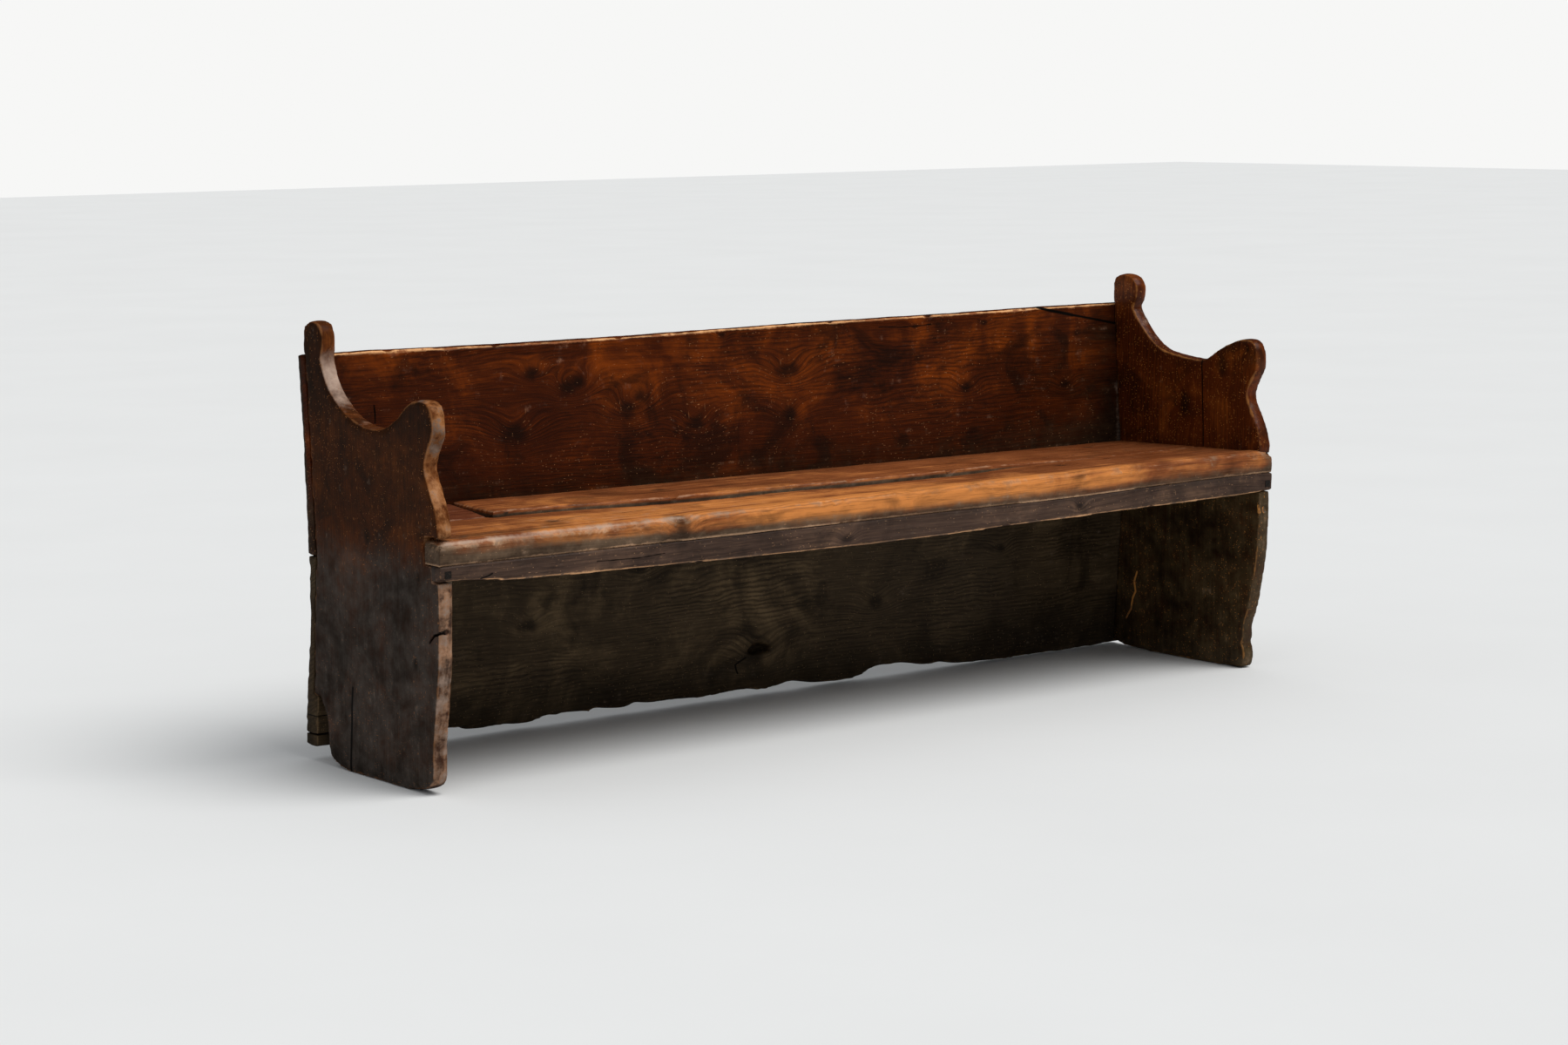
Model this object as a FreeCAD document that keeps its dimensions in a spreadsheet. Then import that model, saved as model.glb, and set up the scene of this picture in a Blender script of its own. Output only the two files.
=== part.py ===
import FreeCAD, Part
import os

import Sketcher
from FreeCAD import Rotation, Vector

# Plank settle: millimetres, +Z up, front towards -Y, origin on the floor below the middle of the bench.
# A station is a depth measured back from the front edge of the seat; a height is measured from the floor.

SIZES = {
    # The bench as a whole
    "bench_length": 2048,
    "seat_height": 460,
    "seat_depth": 439,
    "seat_thickness": 47,
    "shrink_clearance": 0.5,
    # Back boards
    "back_rise": 300,
    "back_lean": 17.4,
    "upper_thickness": 28,
    "lower_thickness": 44,
    "foot_splay": 30,
    "lower_floor_gap": 4,
    "knot_left": 991,
    "knot_width": 70,
    "knot_height": 93,
    "knot_rise": 18,
    "knot_depth": 30,
    # End panels: what both have alike
    "end_thickness": 32,
    "panel_setback": 8,
    "heel_start": 336,
    "heel_station": 409,
    "heel_rise": 28,
    "heel_bulge": 6,
    "heel_cut_side": 88,
    "heel_cut_top": 126,
    "heel_cut_bulge": 8,
    "ear_rise": 42,
    "ear_width": 16,
    "ear_bulge": 4,
    "knob_top_rise": 60,
    "shoulder_width": 50,
    "crown_bulge": 1.5,
    "knob_rise": 26,
    "knob_bulge": 11,
    "neck_drop": 8,
    "neck_width": 60,
    "neck_bulge": 4,
    "arm_back_station": 115,
    "arm_back_rise": 224,
    "arm_back_bulge": 8,
    "arm_top_station": 50,
    "arm_top_rise": 238,
    "arm_front_station": 17,
    "arm_front_rise": 188,
    "arm_round_bulge": 13,
    "arm_under_station": 42,
    "arm_under_rise": 143,
    "arm_under_bulge": 4,
    "waist_station": 46,
    "waist_rise": 101,
    "waist_bulge": 4,
    "flare_bulge": 12,
    "shin_height": 100,
    # End panels: what differs from one to the other
    "left_knob_width": 63,
    "left_sweep_station": 224,
    "left_sweep_rise": 179,
    "left_sweep_bulge": 26,
    "left_arm_hollow": 13,
    "left_foot_station": 35,
    "left_shin_bulge": 8,
    "left_toe_rise": 24,
    "left_toe_run": 130,
    "left_toe_bulge": 5.5,
    "right_knob_width": 71,
    "right_sweep_station": 181,
    "right_sweep_rise": 191,
    "right_sweep_bulge": 27,
    "right_arm_hollow": 4,
    "right_foot_station": 52,
    "right_shin_bulge": 10,
    "right_toe_rise": 12,
    "right_toe_run": 72,
    "right_toe_bulge": 3,
    # Seat boards and the rail under them
    "horn_depth": 55,
    "nosing_radius": 14,
    "rail_thickness": 30,
    "rail_end_height": 29,
    "rail_bow": 17,
    "patch_joint_station": 248,
    "cut_front_x": 258,
    "cut_rear_x": 297,
    "cut_kerf": 2.5,
    "joint_left_station": 236,
    "joint_middle_x": 1294,
    "joint_middle_station": 163,
    "joint_right_station": 190,
    "joint_left_bow": 13,
    "joint_right_bow": 9,
    "opened_gap": 9,
    # Cleats and battens under the seat
    "bearer_width": 35,
    "bearer_height": 45,
    "bearer_front": 70,
    "bearer_rear_gap": 12,
    "ledger_depth": 36,
    "ledger_height": 28,
    "cross_bearer_width": 96,
    "cross_bearer_height": 32,
    # Forged nails
    "nail_head": 13,
    "nail_head_depth": 3,
    "nail_shank": 5,
    "nail_tip": 2,
    "nail_length": 70,
    "short_nail_length": 56,
    "nail_margin": 42,
    "nosing_nail_station": 15,
}

# Rise of the lower back board's worn edge above its lowest point, at shares of the bench's length
WORN_EDGE = ((0, 21), (0.15, 19), (0.22, 9), (0.26, 20), (0.34, 14), (0.365, 20), (0.44, 10), (0.53, 13),
             (0.595, 5), (0.625, 5), (0.65, 23), (0.7, 23), (0.73, 12), (0.775, 3), (0.85, 0), (1, 0))


class Size:
    """A length that knows its number and the spreadsheet expression that gives it."""

    def __init__(self, value, text):
        self.value = value
        self.text = text

    def join(self, sign, other, value):
        return Size(value, "(%s %s %s)" % (self.text, sign, other.text))

    def __add__(self, other):
        other = as_size(other)
        return self.join("+", other, self.value + other.value)

    def __sub__(self, other):
        other = as_size(other)
        return self.join("-", other, self.value - other.value)

    def __mul__(self, other):
        other = as_size(other)
        return self.join("*", other, self.value * other.value)

    def __truediv__(self, other):
        other = as_size(other)
        return self.join("/", other, self.value / other.value)


def as_size(number):
    if isinstance(number, Size):
        return number
    return Size(float(number), "%.4f" % number)


doc = FreeCAD.newDocument("plank_settle")
sheet = doc.addObject("Spreadsheet::Sheet", "sizes")
size = {}
for row, (name, number) in enumerate(SIZES.items(), start=1):
    sheet.set("A%d" % row, name)
    sheet.set("B%d" % row, str(number))
    sheet.setAlias("B%d" % row, name)
    size[name] = Size(float(number), "sizes." + name)
doc.recompute()

# Lines and levels that several pieces share

zero = as_size(0)
length = size["bench_length"]
seat_top = size["seat_height"]
underside = seat_top - size["seat_thickness"]
back_top = seat_top + size["back_rise"]
back_joint = underside - size["ledger_height"]
rail_bottom = underside - size["rail_end_height"]
panel = size["end_thickness"]
slack = size["shrink_clearance"]


def upper_line(height):
    """Station of the leaning back's front face, where the end panels' rear edges end."""
    return size["seat_depth"] + size["back_lean"] * (height - seat_top) / size["back_rise"]


def splay(height):
    return size["foot_splay"] * (back_joint - height) / back_joint


def lower_line(height):
    """Station of the end panels' rear edges below the joint, let into the lower back board."""
    return upper_line(back_joint) + splay(height)


def lower_front(height):
    return lower_line(height) + size["upper_thickness"] - size["lower_thickness"]


def lower_rear(height):
    return lower_line(height) + size["upper_thickness"]


left_end = zero - length / 2
front_edge = zero - lower_rear(size["lower_floor_gap"]) / 2

# Drawing helpers


def place(target, x, station, height):
    for axis, value in (("x", left_end + x), ("y", front_edge + station), ("z", height)):
        target.setExpression("Placement.Base." + axis, value.text)


def arc_radius(start, end, bulge):
    across = end[0] - start[0]
    up = end[1] - start[1]
    return ((across * across + up * up) / 4 + bulge * bulge) / (bulge * 2)


def outline(body, plane, name, corners):
    """Closed outline on one of the body's origin planes, each corner bound to the spreadsheet.

    A corner is (across, up), or (across, up, bulge, side) where an arc leads to it. The outline runs
    anticlockwise; side is 1 for an arc that bulges outwards and -1 for a hollow one.
    """
    sketch = body.newObject("Sketcher::SketchObject", name)
    origin = [feature for feature in body.Origin.OriginFeatures if feature.Role == plane][0]
    sketch.AttachmentSupport = (origin, "")
    sketch.MapMode = "FlatFace"
    corners = [(as_size(corner[0]), as_size(corner[1])) + tuple(corner[2:]) for corner in corners]
    points = [Vector(corner[0].value, corner[1].value, 0) for corner in corners]
    for index, corner in enumerate(corners):
        start, end = points[index - 1], points[index]
        if len(corner) == 2:
            sketch.addGeometry(Part.LineSegment(start, end), False)
            continue
        run = end - start
        outwards = Vector(run.y, -run.x, 0).normalize() * corner[2].value * corner[3]
        sketch.addGeometry(Part.Arc(start, (start + end) * 0.5 + outwards, end), False)
    last = [2 if sketch.getPoint(i, 2).distanceToPoint(point) < 1e-6 else 1 for i, point in enumerate(points)]
    for index, corner in enumerate(corners):
        following = (index + 1) % len(corners)
        joined = Sketcher.Constraint("Coincident", index, last[index], following, 3 - last[following])
        sketch.addConstraint(joined)
        for kind, value in (("DistanceX", corner[0]), ("DistanceY", corner[1])):
            number = sketch.addConstraint(Sketcher.Constraint(kind, index, last[index], value.value))
            sketch.setExpression("Constraints[%d]" % number, value.text)
        if len(corner) > 2:
            radius = arc_radius(corners[index - 1], corner, corner[2])
            number = sketch.addConstraint(Sketcher.Constraint("Radius", index, radius.value))
            sketch.setExpression("Constraints[%d]" % number, radius.text)
    return sketch


def new_body(name, x=zero, station=zero, height=zero):
    body = doc.addObject("PartDesign::Body", name)
    place(body, x, station, height)
    return body


def add(body, kind, name, sketch, depth, reverse=False):
    """Pad or pocket from an outline."""
    feature = body.newObject("PartDesign::" + kind, name)
    feature.Profile = sketch
    feature.Reversed = reverse
    feature.setExpression("Length", depth.text)
    return feature


def section_bar(name, corners, x, long):
    """Bar along the bench with a drawn section."""
    body = new_body(name, x=x)
    add(body, "Pad", name + "_pad", outline(body, "YZ_Plane", name + "_section", corners), long)
    return body


def board(name, corners, top, thickness):
    """Level board with a drawn outline, its top face at the height given."""
    body = new_body(name, height=top - thickness)
    add(body, "Pad", name + "_pad", outline(body, "XY_Plane", name + "_outline", corners), thickness)
    return body


# End panels


def heel(side):
    """Rear corner from the floor up to the joint of the back boards."""
    rear = lower_line(back_joint)
    if side == "right":
        foot = size["lower_floor_gap"] * 2
        return [
            (size["heel_station"], zero),
            (lower_front(foot), foot),
            (lower_line(foot), foot),
            (rear, back_joint),
        ]
    cut_top = size["heel_cut_top"]
    return [
        (size["heel_start"], zero),
        (size["heel_station"], size["heel_rise"], size["heel_bulge"], 1),
        (size["heel_station"], size["heel_cut_side"]),
        (lower_front(cut_top), cut_top, size["heel_cut_bulge"], -1),
        (lower_line(cut_top), cut_top),
        (rear, back_joint),
    ]


def end_panel(side, x):
    """Upright plank: feet, scroll top, notches for the seat's horn and for the rail."""

    def own(name):
        return size[side + "_" + name]

    ear_height = back_top + size["ear_rise"]
    crown = back_top + size["knob_top_rise"]
    knob_back = upper_line(back_top)
    top = [
        (upper_line(ear_height), ear_height),
        (knob_back - size["ear_width"], crown, size["ear_bulge"], 1),
        (knob_back - size["shoulder_width"], crown, size["crown_bulge"], 1),
        (knob_back - own("knob_width"), back_top + size["knob_rise"], size["knob_bulge"], 1),
        (knob_back - size["neck_width"], back_top - size["neck_drop"], size["neck_bulge"], 1),
        (own("sweep_station"), seat_top + own("sweep_rise"), own("sweep_bulge"), -1),
        (size["arm_back_station"], seat_top + size["arm_back_rise"], own("arm_hollow"), -1),
        (size["arm_top_station"], seat_top + size["arm_top_rise"], size["arm_back_bulge"], 1),
        (size["arm_front_station"], seat_top + size["arm_front_rise"], size["arm_round_bulge"], 1),
        (size["arm_under_station"], seat_top + size["arm_under_rise"], size["arm_under_bulge"], 1),
        (size["waist_station"], seat_top + size["waist_rise"], size["waist_bulge"], -1),
        (size["panel_setback"], seat_top, size["flare_bulge"], 1),
    ]
    notches = [
        (size["horn_depth"], seat_top),
        (size["horn_depth"], underside),
        (size["rail_thickness"], underside),
        (size["rail_thickness"], rail_bottom),
        (size["panel_setback"], rail_bottom),
    ]
    shin = [
        (own("foot_station"), size["shin_height"], own("shin_bulge"), 1),
        (own("foot_station"), own("toe_rise")),
        (own("toe_run"), zero, own("toe_bulge"), 1),
    ]
    body = new_body(side + "_end_blank", x=x)
    sketch = outline(body, "YZ_Plane", side + "_end_outline", heel(side) + top + notches + shin)
    add(body, "Pad", side + "_end_pad", sketch, panel)
    return body


left_panel = end_panel("left", zero)
right_panel = end_panel("right", length - panel)

# Back boards

upper_back = section_bar("upper_back_blank", [
    (upper_line(back_joint), back_joint),
    (upper_line(back_joint) + size["upper_thickness"], back_joint),
    (upper_line(back_top) + size["upper_thickness"], back_top),
    (upper_line(back_top), back_top),
], zero, length)

lower_back = section_bar("lower_back_plank", [
    (lower_front(zero), zero),
    (lower_rear(zero), zero),
    (lower_rear(back_joint), back_joint),
    (lower_front(back_joint), back_joint),
], zero, length)

worn_edge = [(length * share, size["lower_floor_gap"] + rise) for share, rise in reversed(WORN_EDGE)]
below_floor = zero - size["lower_floor_gap"]
through = lower_rear(zero) + size["lower_thickness"]
worn_edge = [(zero, below_floor), (length, below_floor)] + worn_edge
sketch = outline(lower_back, "XZ_Plane", "worn_edge", worn_edge)
add(lower_back, "Pocket", "worn_edge_cut", sketch, through)

# A knot has dropped out of the lower back board and left a half-moon hollow in its face
knot_right = size["knot_left"] + size["knot_width"]
sketch = outline(lower_back, "XZ_Plane", "knot_outline", [
    (size["knot_left"], size["knot_height"]),
    (knot_right, size["knot_height"]),
    (size["knot_left"], size["knot_height"], size["knot_rise"], 1),
][1:])
add(lower_back, "Pocket", "knot_hollow", sketch, lower_front(size["knot_height"]) + size["knot_depth"])

# The lower back board is housed over the rear edges of both end panels
lower_back_blank = doc.addObject("Part::Cut", "lower_back_blank")
lower_back_blank.Base = lower_back
housings = doc.addObject("Part::Compound", "housings")
housings.Links = [left_panel, right_panel]
lower_back_blank.Tool = housings

# Seat boards

inner_left = panel + slack
inner_right = length - panel - slack
seat_rear = upper_line(underside) - slack
half_kerf = size["cut_kerf"] / 2


def long_joint(gap, end_gap):
    """Three points of the wandering joint of the seat planks: at the saw cut, half way and at the right."""
    middle = (size["joint_middle_x"], size["joint_middle_station"] - gap)
    right_end = (inner_right, size["joint_right_station"] - end_gap)
    left_end_of_joint = (size["cut_front_x"] + half_kerf, size["joint_left_station"] - end_gap)
    return left_end_of_joint, middle, right_end


near_left, near_middle, near_right = long_joint(size["opened_gap"], slack)
seat_front = board("seat_front_blank", [
    (zero, zero),
    (length, zero),
    (length, size["horn_depth"] - slack),
    (inner_right, size["horn_depth"] - slack),
    near_right,
    near_middle + (size["joint_right_bow"], 1),
    near_left + (size["joint_left_bow"], -1),
    (size["cut_front_x"] - half_kerf, size["patch_joint_station"] - slack),
    (inner_left, size["patch_joint_station"] - slack),
    (inner_left, size["horn_depth"] - slack),
    (zero, size["horn_depth"] - slack),
], seat_top, size["seat_thickness"])

far_left, far_middle, far_right = long_joint(zero, zero)
seat_rear_blank = board("seat_rear_blank", [
    far_left,
    far_middle + (size["joint_left_bow"], 1),
    far_right + (size["joint_right_bow"], -1),
    (inner_right, seat_rear),
    (size["cut_rear_x"] + half_kerf, seat_rear),
], seat_top, size["seat_thickness"])

corner_patch = board("seat_patch_blank", [
    (inner_left, size["patch_joint_station"]),
    (size["cut_front_x"] - half_kerf, size["patch_joint_station"]),
    (size["cut_rear_x"] - half_kerf, seat_rear),
    (inner_left, seat_rear),
], seat_top, size["seat_thickness"])

# The worn nosing along the front of the seat
doc.recompute()
nosing = seat_front.newObject("PartDesign::Fillet", "nosing")
pad = seat_front.getObject("seat_front_blank_pad")


def on_nosing(edge):
    ends = [vertex.Point for vertex in edge.Vertexes]
    long_enough = len(ends) == 2 and abs(ends[0].x - ends[1].x) > length.value - 1
    return long_enough and all(abs(p.y) < 1e-6 and p.z > size["seat_thickness"].value - 1e-6 for p in ends)


nosing_edges = ["Edge%d" % number for number, edge in enumerate(pad.Shape.Edges, start=1) if on_nosing(edge)]
nosing.Base = (pad, nosing_edges)
nosing.setExpression("Radius", size["nosing_radius"].text)

# The rail under the nosing, bowed along its lower edge
rail_blank = new_body("front_rail_blank")
sketch = outline(rail_blank, "XZ_Plane", "rail_outline", [
    (zero, underside),
    (zero, rail_bottom),
    (length, rail_bottom, size["rail_bow"], 1),
    (length, underside),
])
add(rail_blank, "Pad", "rail_pad", sketch, size["rail_thickness"], reverse=True)

# Cleats and battens

ledger_front = upper_line(underside) - size["ledger_depth"]
bearer_length = ledger_front - size["bearer_rear_gap"] - size["bearer_front"]


def bearer(name, x):
    body = new_body(name, x=x, station=size["bearer_front"], height=underside - size["bearer_height"])
    corners = [
        (zero, zero),
        (size["bearer_width"], zero),
        (size["bearer_width"], bearer_length),
        (zero, bearer_length),
    ]
    sketch = outline(body, "XY_Plane", name + "_outline", corners)
    add(body, "Pad", name + "_pad", sketch, size["bearer_height"])
    return body


left_bearer = bearer("left_bearer_blank", panel)
right_bearer = bearer("right_bearer_blank", length - panel - size["bearer_width"])

# The ledger stands on the lower back board's top edge and against the upper back board
rear_ledger = section_bar("rear_ledger_blank", [
    (ledger_front, back_joint),
    (upper_line(back_joint), back_joint),
    (upper_line(underside), underside),
    (ledger_front, underside),
], panel + slack, length - panel * 2 - slack * 2)

cut_middle = (size["cut_front_x"] + size["cut_rear_x"]) / 2
cross_front = size["rail_thickness"]
cross_bearer = section_bar("cross_bearer_blank", [
    (cross_front, underside - size["cross_bearer_height"]),
    (ledger_front, underside - size["cross_bearer_height"]),
    (ledger_front, underside),
    (cross_front, underside),
], cut_middle - size["cross_bearer_width"] / 2, size["cross_bearer_width"])

# Forged nails: a square tapering shank under a square head that lies flush with the wood

INTO_BACK = Rotation(Vector(0, 0, 1), 0)
INTO_FRONT = Rotation(Vector(0, 0, 1), 180)
DOWN = Rotation(Vector(1, 0, 0), -90)
TO_LEFT = Rotation(Vector(0, 0, 1), 90)
TO_RIGHT = Rotation(Vector(0, 0, 1), -90)


def nail(name, x, station, height, way, long):
    shank = doc.addObject("Part::Wedge", name + "_shank")
    head = doc.addObject("Part::Wedge", name + "_head")
    widths = ((shank, size["nail_shank"], size["nail_tip"], long),
              (head, size["nail_head"], size["nail_head"], size["nail_head_depth"]))
    for bar, wide, narrow, deep in widths:
        for axis in "XZ":
            bar.setExpression(axis + "min", (zero - wide / 2).text)
            bar.setExpression(axis + "max", (wide / 2).text)
            bar.setExpression(axis + "2min", (zero - narrow / 2).text)
            bar.setExpression(axis + "2max", (narrow / 2).text)
        bar.setExpression("Ymin", zero.text)
        bar.setExpression("Ymax", deep.text)
    whole = doc.addObject("Part::Fuse", name)
    whole.Base = shank
    whole.Tool = head
    whole.Placement.Rotation = way
    place(whole, x, station, height)
    return whole


def nail_group(name, places, way, long):
    group = doc.addObject("Part::Compound", name)
    group.Links = [nail("%s_%d" % (name, number), x, station, height, turn or way, long)
                   for number, (x, station, height, turn) in enumerate(places, start=1)]
    return group


nail_long = size["nail_length"]
nail_short = size["short_nail_length"]
edge_margin = size["nail_margin"]
in_left_panel = panel / 2
in_right_panel = length - panel / 2
horn_nail_inset = panel * 0.75
sink = size["nail_head_depth"] / 4


def rear_nail(x, height):
    line = upper_line if height.value > back_joint.value else lower_line
    return x, line(height) + size["upper_thickness"] - sink, height, None


heel_cut_top = size["heel_cut_top"]
upper_heights = [back_joint + edge_margin * 2, (back_joint + back_top) / 2, back_top - edge_margin]
lower_heights = [heel_cut_top + edge_margin, (heel_cut_top + back_joint) / 2, back_joint - edge_margin]
ledger_height = (back_joint + underside) / 2
ledger_xs = [panel + edge_margin, length / 3, length * 2 / 3, length - panel - edge_margin]
upper_back_nails = nail_group(
    "upper_back_nails", [rear_nail(x, z) for x in (in_left_panel, in_right_panel) for z in upper_heights],
    INTO_FRONT, nail_long)
lower_back_nails = nail_group(
    "lower_back_nails", [rear_nail(x, z) for x in (in_left_panel, in_right_panel) for z in lower_heights],
    INTO_FRONT, nail_long)
ledger_nails = nail_group(
    "ledger_nails", [rear_nail(x, ledger_height) for x in ledger_xs], INTO_FRONT, nail_short)

rail_nail_height = rail_bottom + size["rail_end_height"] / 2
rail_nails = nail_group(
    "rail_nails", [(x, zero, rail_nail_height, None) for x in (in_left_panel, in_right_panel)],
    INTO_BACK, nail_short)


def seat_nails(name, spots):
    return nail_group(name, [(x, station, seat_top, None) for x, station in spots], DOWN, nail_long)


in_nosing = size["nosing_nail_station"] + size["nosing_radius"] / 2
in_horn = (size["rail_thickness"] + size["horn_depth"]) / 2
left_cleat = panel + size["bearer_width"] / 2
right_cleat = length - panel - size["bearer_width"] / 2
front_spot = size["bearer_front"] + edge_margin
ledger_spot = ledger_front + size["ledger_depth"] / 2
patch_front = size["patch_joint_station"] + edge_margin
patch_rear = ledger_spot - edge_margin
beside_cut = size["cross_bearer_width"] / 4
seat_front_nails = seat_nails(
    "seat_front_nails",
    [(length * share / 6, in_nosing) for share in range(1, 6)]
    + [(horn_nail_inset, in_horn), (length - horn_nail_inset, in_horn)]
    + [(left_cleat, front_spot), (right_cleat, front_spot), (cut_middle, front_spot)])
seat_rear_nails = seat_nails(
    "seat_rear_nails",
    [(cut_middle + beside_cut, patch_front), (right_cleat, patch_front), (right_cleat, patch_rear)]
    + [(length * share / 6, ledger_spot) for share in (2.5, 3.5, 4.5)])
patch_nails = seat_nails(
    "patch_nails",
    [(left_cleat, patch_front), (left_cleat, patch_rear), (cut_middle - beside_cut * 1.5, patch_front)])

cleat_depth = size["bearer_width"]
cleat_height = underside - size["bearer_height"] * 0.6
cleat_stations = [size["bearer_front"] + edge_margin / 2, size["bearer_front"] + bearer_length / 2,
                  size["bearer_front"] + bearer_length - edge_margin / 2]
bearer_nails = nail_group(
    "bearer_nails",
    [(panel + cleat_depth, station, cleat_height, TO_LEFT) for station in cleat_stations]
    + [(length - panel - cleat_depth, station, cleat_height, TO_RIGHT) for station in cleat_stations],
    TO_LEFT, nail_short)

nail_groups = [upper_back_nails, lower_back_nails, ledger_nails, rail_nails,
               seat_front_nails, seat_rear_nails, patch_nails, bearer_nails]
all_nails = doc.addObject("Part::Compound", "all_nails")
all_nails.Links = nail_groups

# Every board takes the holes of the nails that pass through it

BOARDS = {
    "left_end_panel": left_panel,
    "right_end_panel": right_panel,
    "upper_back_board": upper_back,
    "lower_back_board": lower_back_blank,
    "seat_front_board": seat_front,
    "seat_rear_board": seat_rear_blank,
    "seat_corner_patch": corner_patch,
    "front_rail": rail_blank,
    "left_seat_bearer": left_bearer,
    "right_seat_bearer": right_bearer,
    "rear_ledger": rear_ledger,
    "seat_cross_bearer": cross_bearer,
}

nodes = []
for name, blank in BOARDS.items():
    nailed = doc.addObject("Part::Cut", name)
    nailed.Base = blank
    nailed.Tool = all_nails
    nodes.append(nailed)
for group in nail_groups:
    group.Label = group.Name
    nodes.append(group)

doc.recompute()

for item in doc.Objects:
    if "Invalid" in item.State or "Error" in item.State:
        raise RuntimeError("%s did not compute: %s" % (item.Name, item.State))

os.makedirs("parts", exist_ok=True)
for node in nodes:
    if node.Shape.isNull() or not node.Shape.isValid():
        raise RuntimeError("%s has no valid shape" % node.Label)
    node.Shape.exportStep("parts/%s.step" % node.Label)
    box = node.Shape.BoundBox
    print("%-20s solids %2d volume %9.0f cm3 x %7.1f..%7.1f y %6.1f..%6.1f z %5.1f..%5.1f" % (
        node.Label, len(node.Shape.Solids), node.Shape.Volume / 1000, box.XMin, box.XMax, box.YMin, box.YMax,
        box.ZMin, box.ZMax))
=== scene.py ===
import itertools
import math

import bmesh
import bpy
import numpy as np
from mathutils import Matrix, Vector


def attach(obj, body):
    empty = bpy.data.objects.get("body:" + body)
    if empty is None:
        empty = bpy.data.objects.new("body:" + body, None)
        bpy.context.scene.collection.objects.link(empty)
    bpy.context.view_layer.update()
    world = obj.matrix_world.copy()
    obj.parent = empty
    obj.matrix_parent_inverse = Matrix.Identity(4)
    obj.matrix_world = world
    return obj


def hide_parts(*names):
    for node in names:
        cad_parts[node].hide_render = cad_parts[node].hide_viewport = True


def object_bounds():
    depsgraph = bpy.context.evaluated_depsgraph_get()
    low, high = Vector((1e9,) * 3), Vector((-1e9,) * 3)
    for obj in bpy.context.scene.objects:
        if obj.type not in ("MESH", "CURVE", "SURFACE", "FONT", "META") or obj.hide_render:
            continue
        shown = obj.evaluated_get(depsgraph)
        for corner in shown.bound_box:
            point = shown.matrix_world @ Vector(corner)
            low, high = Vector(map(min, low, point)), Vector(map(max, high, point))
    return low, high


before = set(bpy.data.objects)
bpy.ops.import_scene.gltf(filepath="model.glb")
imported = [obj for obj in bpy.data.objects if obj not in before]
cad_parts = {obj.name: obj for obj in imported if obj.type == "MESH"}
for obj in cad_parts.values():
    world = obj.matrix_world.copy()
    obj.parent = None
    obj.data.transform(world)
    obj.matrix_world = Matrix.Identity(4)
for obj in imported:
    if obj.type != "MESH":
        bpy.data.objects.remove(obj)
cad_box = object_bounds()

# %% [markdown]
# # A long plank bench, worn by three lifetimes of sitting
#
# The bench is thick softwood planks and forged nails, nothing else. The CAD model gives every plank its true
# size, and this lesson gives each one its age: arrises rubbed round, a foot line eaten ragged by damp floors,
# drying cracks, smoky knots and polish that went red-brown above the seat and black below it.
#
# A plank is easy to draw and hard to believe. So every visible plank here goes through the same four steps that
# a real one does: saw the outline, soften it, let it weather, and lay it where the joiner put it.

MM = 0.001
LENGTH = cad_box[1].x - cad_box[0].x
FRONT = cad_box[0].y
print("The CAD box is", [round(c, 3) for c in cad_box[0]], "to", [round(c, 3) for c in cad_box[1]])
print("CAD pieces:", len(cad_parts))

# %% [markdown]
# ## Camera
#
# The photograph was taken with a long lens from the left front, a little above seat height. Its focal length,
# place and turn were solved from corners and joints whose places on the bench are known, so the render can be
# laid beside the photograph. A long lens keeps the two ends of a two metre bench nearly equal in scale.

# %% The camera
FOCAL_PIXELS = 3914.5
IMAGE_WIDTH = 1800
SENSOR_WIDTH = 36
YAW, PITCH, ROLL = 0.652989, 0.130181, -0.0088815
STANDPOINT = (-4.11429, FRONT + 0.221 - 5.24639, 1.25558)


def aim(yaw, pitch, roll):
    """Rotation of a camera that looks along +Y turned by yaw towards +X, tipped down by pitch, then rolled."""
    level = Vector((math.sin(yaw), math.cos(yaw), 0))
    right = Vector((math.cos(yaw), -math.sin(yaw), 0))
    forward = level * math.cos(pitch) - Vector((0, 0, 1)) * math.sin(pitch)
    above = Vector((0, 0, 1)) * math.cos(pitch) + level * math.sin(pitch)
    turned_right = right * math.cos(roll) + above * math.sin(roll)
    turned_up = above * math.cos(roll) - right * math.sin(roll)
    return Matrix((turned_right, turned_up, -forward)).transposed()


camera = bpy.data.objects.new("camera", bpy.data.cameras.new("camera"))
bpy.context.scene.collection.objects.link(camera)
bpy.context.scene.camera = camera
camera.data.sensor_width = SENSOR_WIDTH
camera.data.lens = FOCAL_PIXELS / IMAGE_WIDTH * SENSOR_WIDTH
camera.matrix_world = Matrix.Translation(STANDPOINT) @ aim(YAW, PITCH, ROLL).to_4x4()
print("Lens", round(camera.data.lens, 1), "mm")

# %% [markdown]
# ## Floor and light
#
# The studio has a pale floor and one broad soft light overhead, a little in front and to the right. It gives
# the seat and the nosing their brightness and leaves the left end in shade. A dim even sky fills the shadows.
# Polish mirrors what stands round it: a studio is dark above its white floor, so reflections see a dim room,
# and the wood keeps its depth. The background is pale to the camera alone, so it lights nothing.

# %% The floor and the background
view = bpy.context.scene.view_settings
view.view_transform = "Standard"


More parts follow.
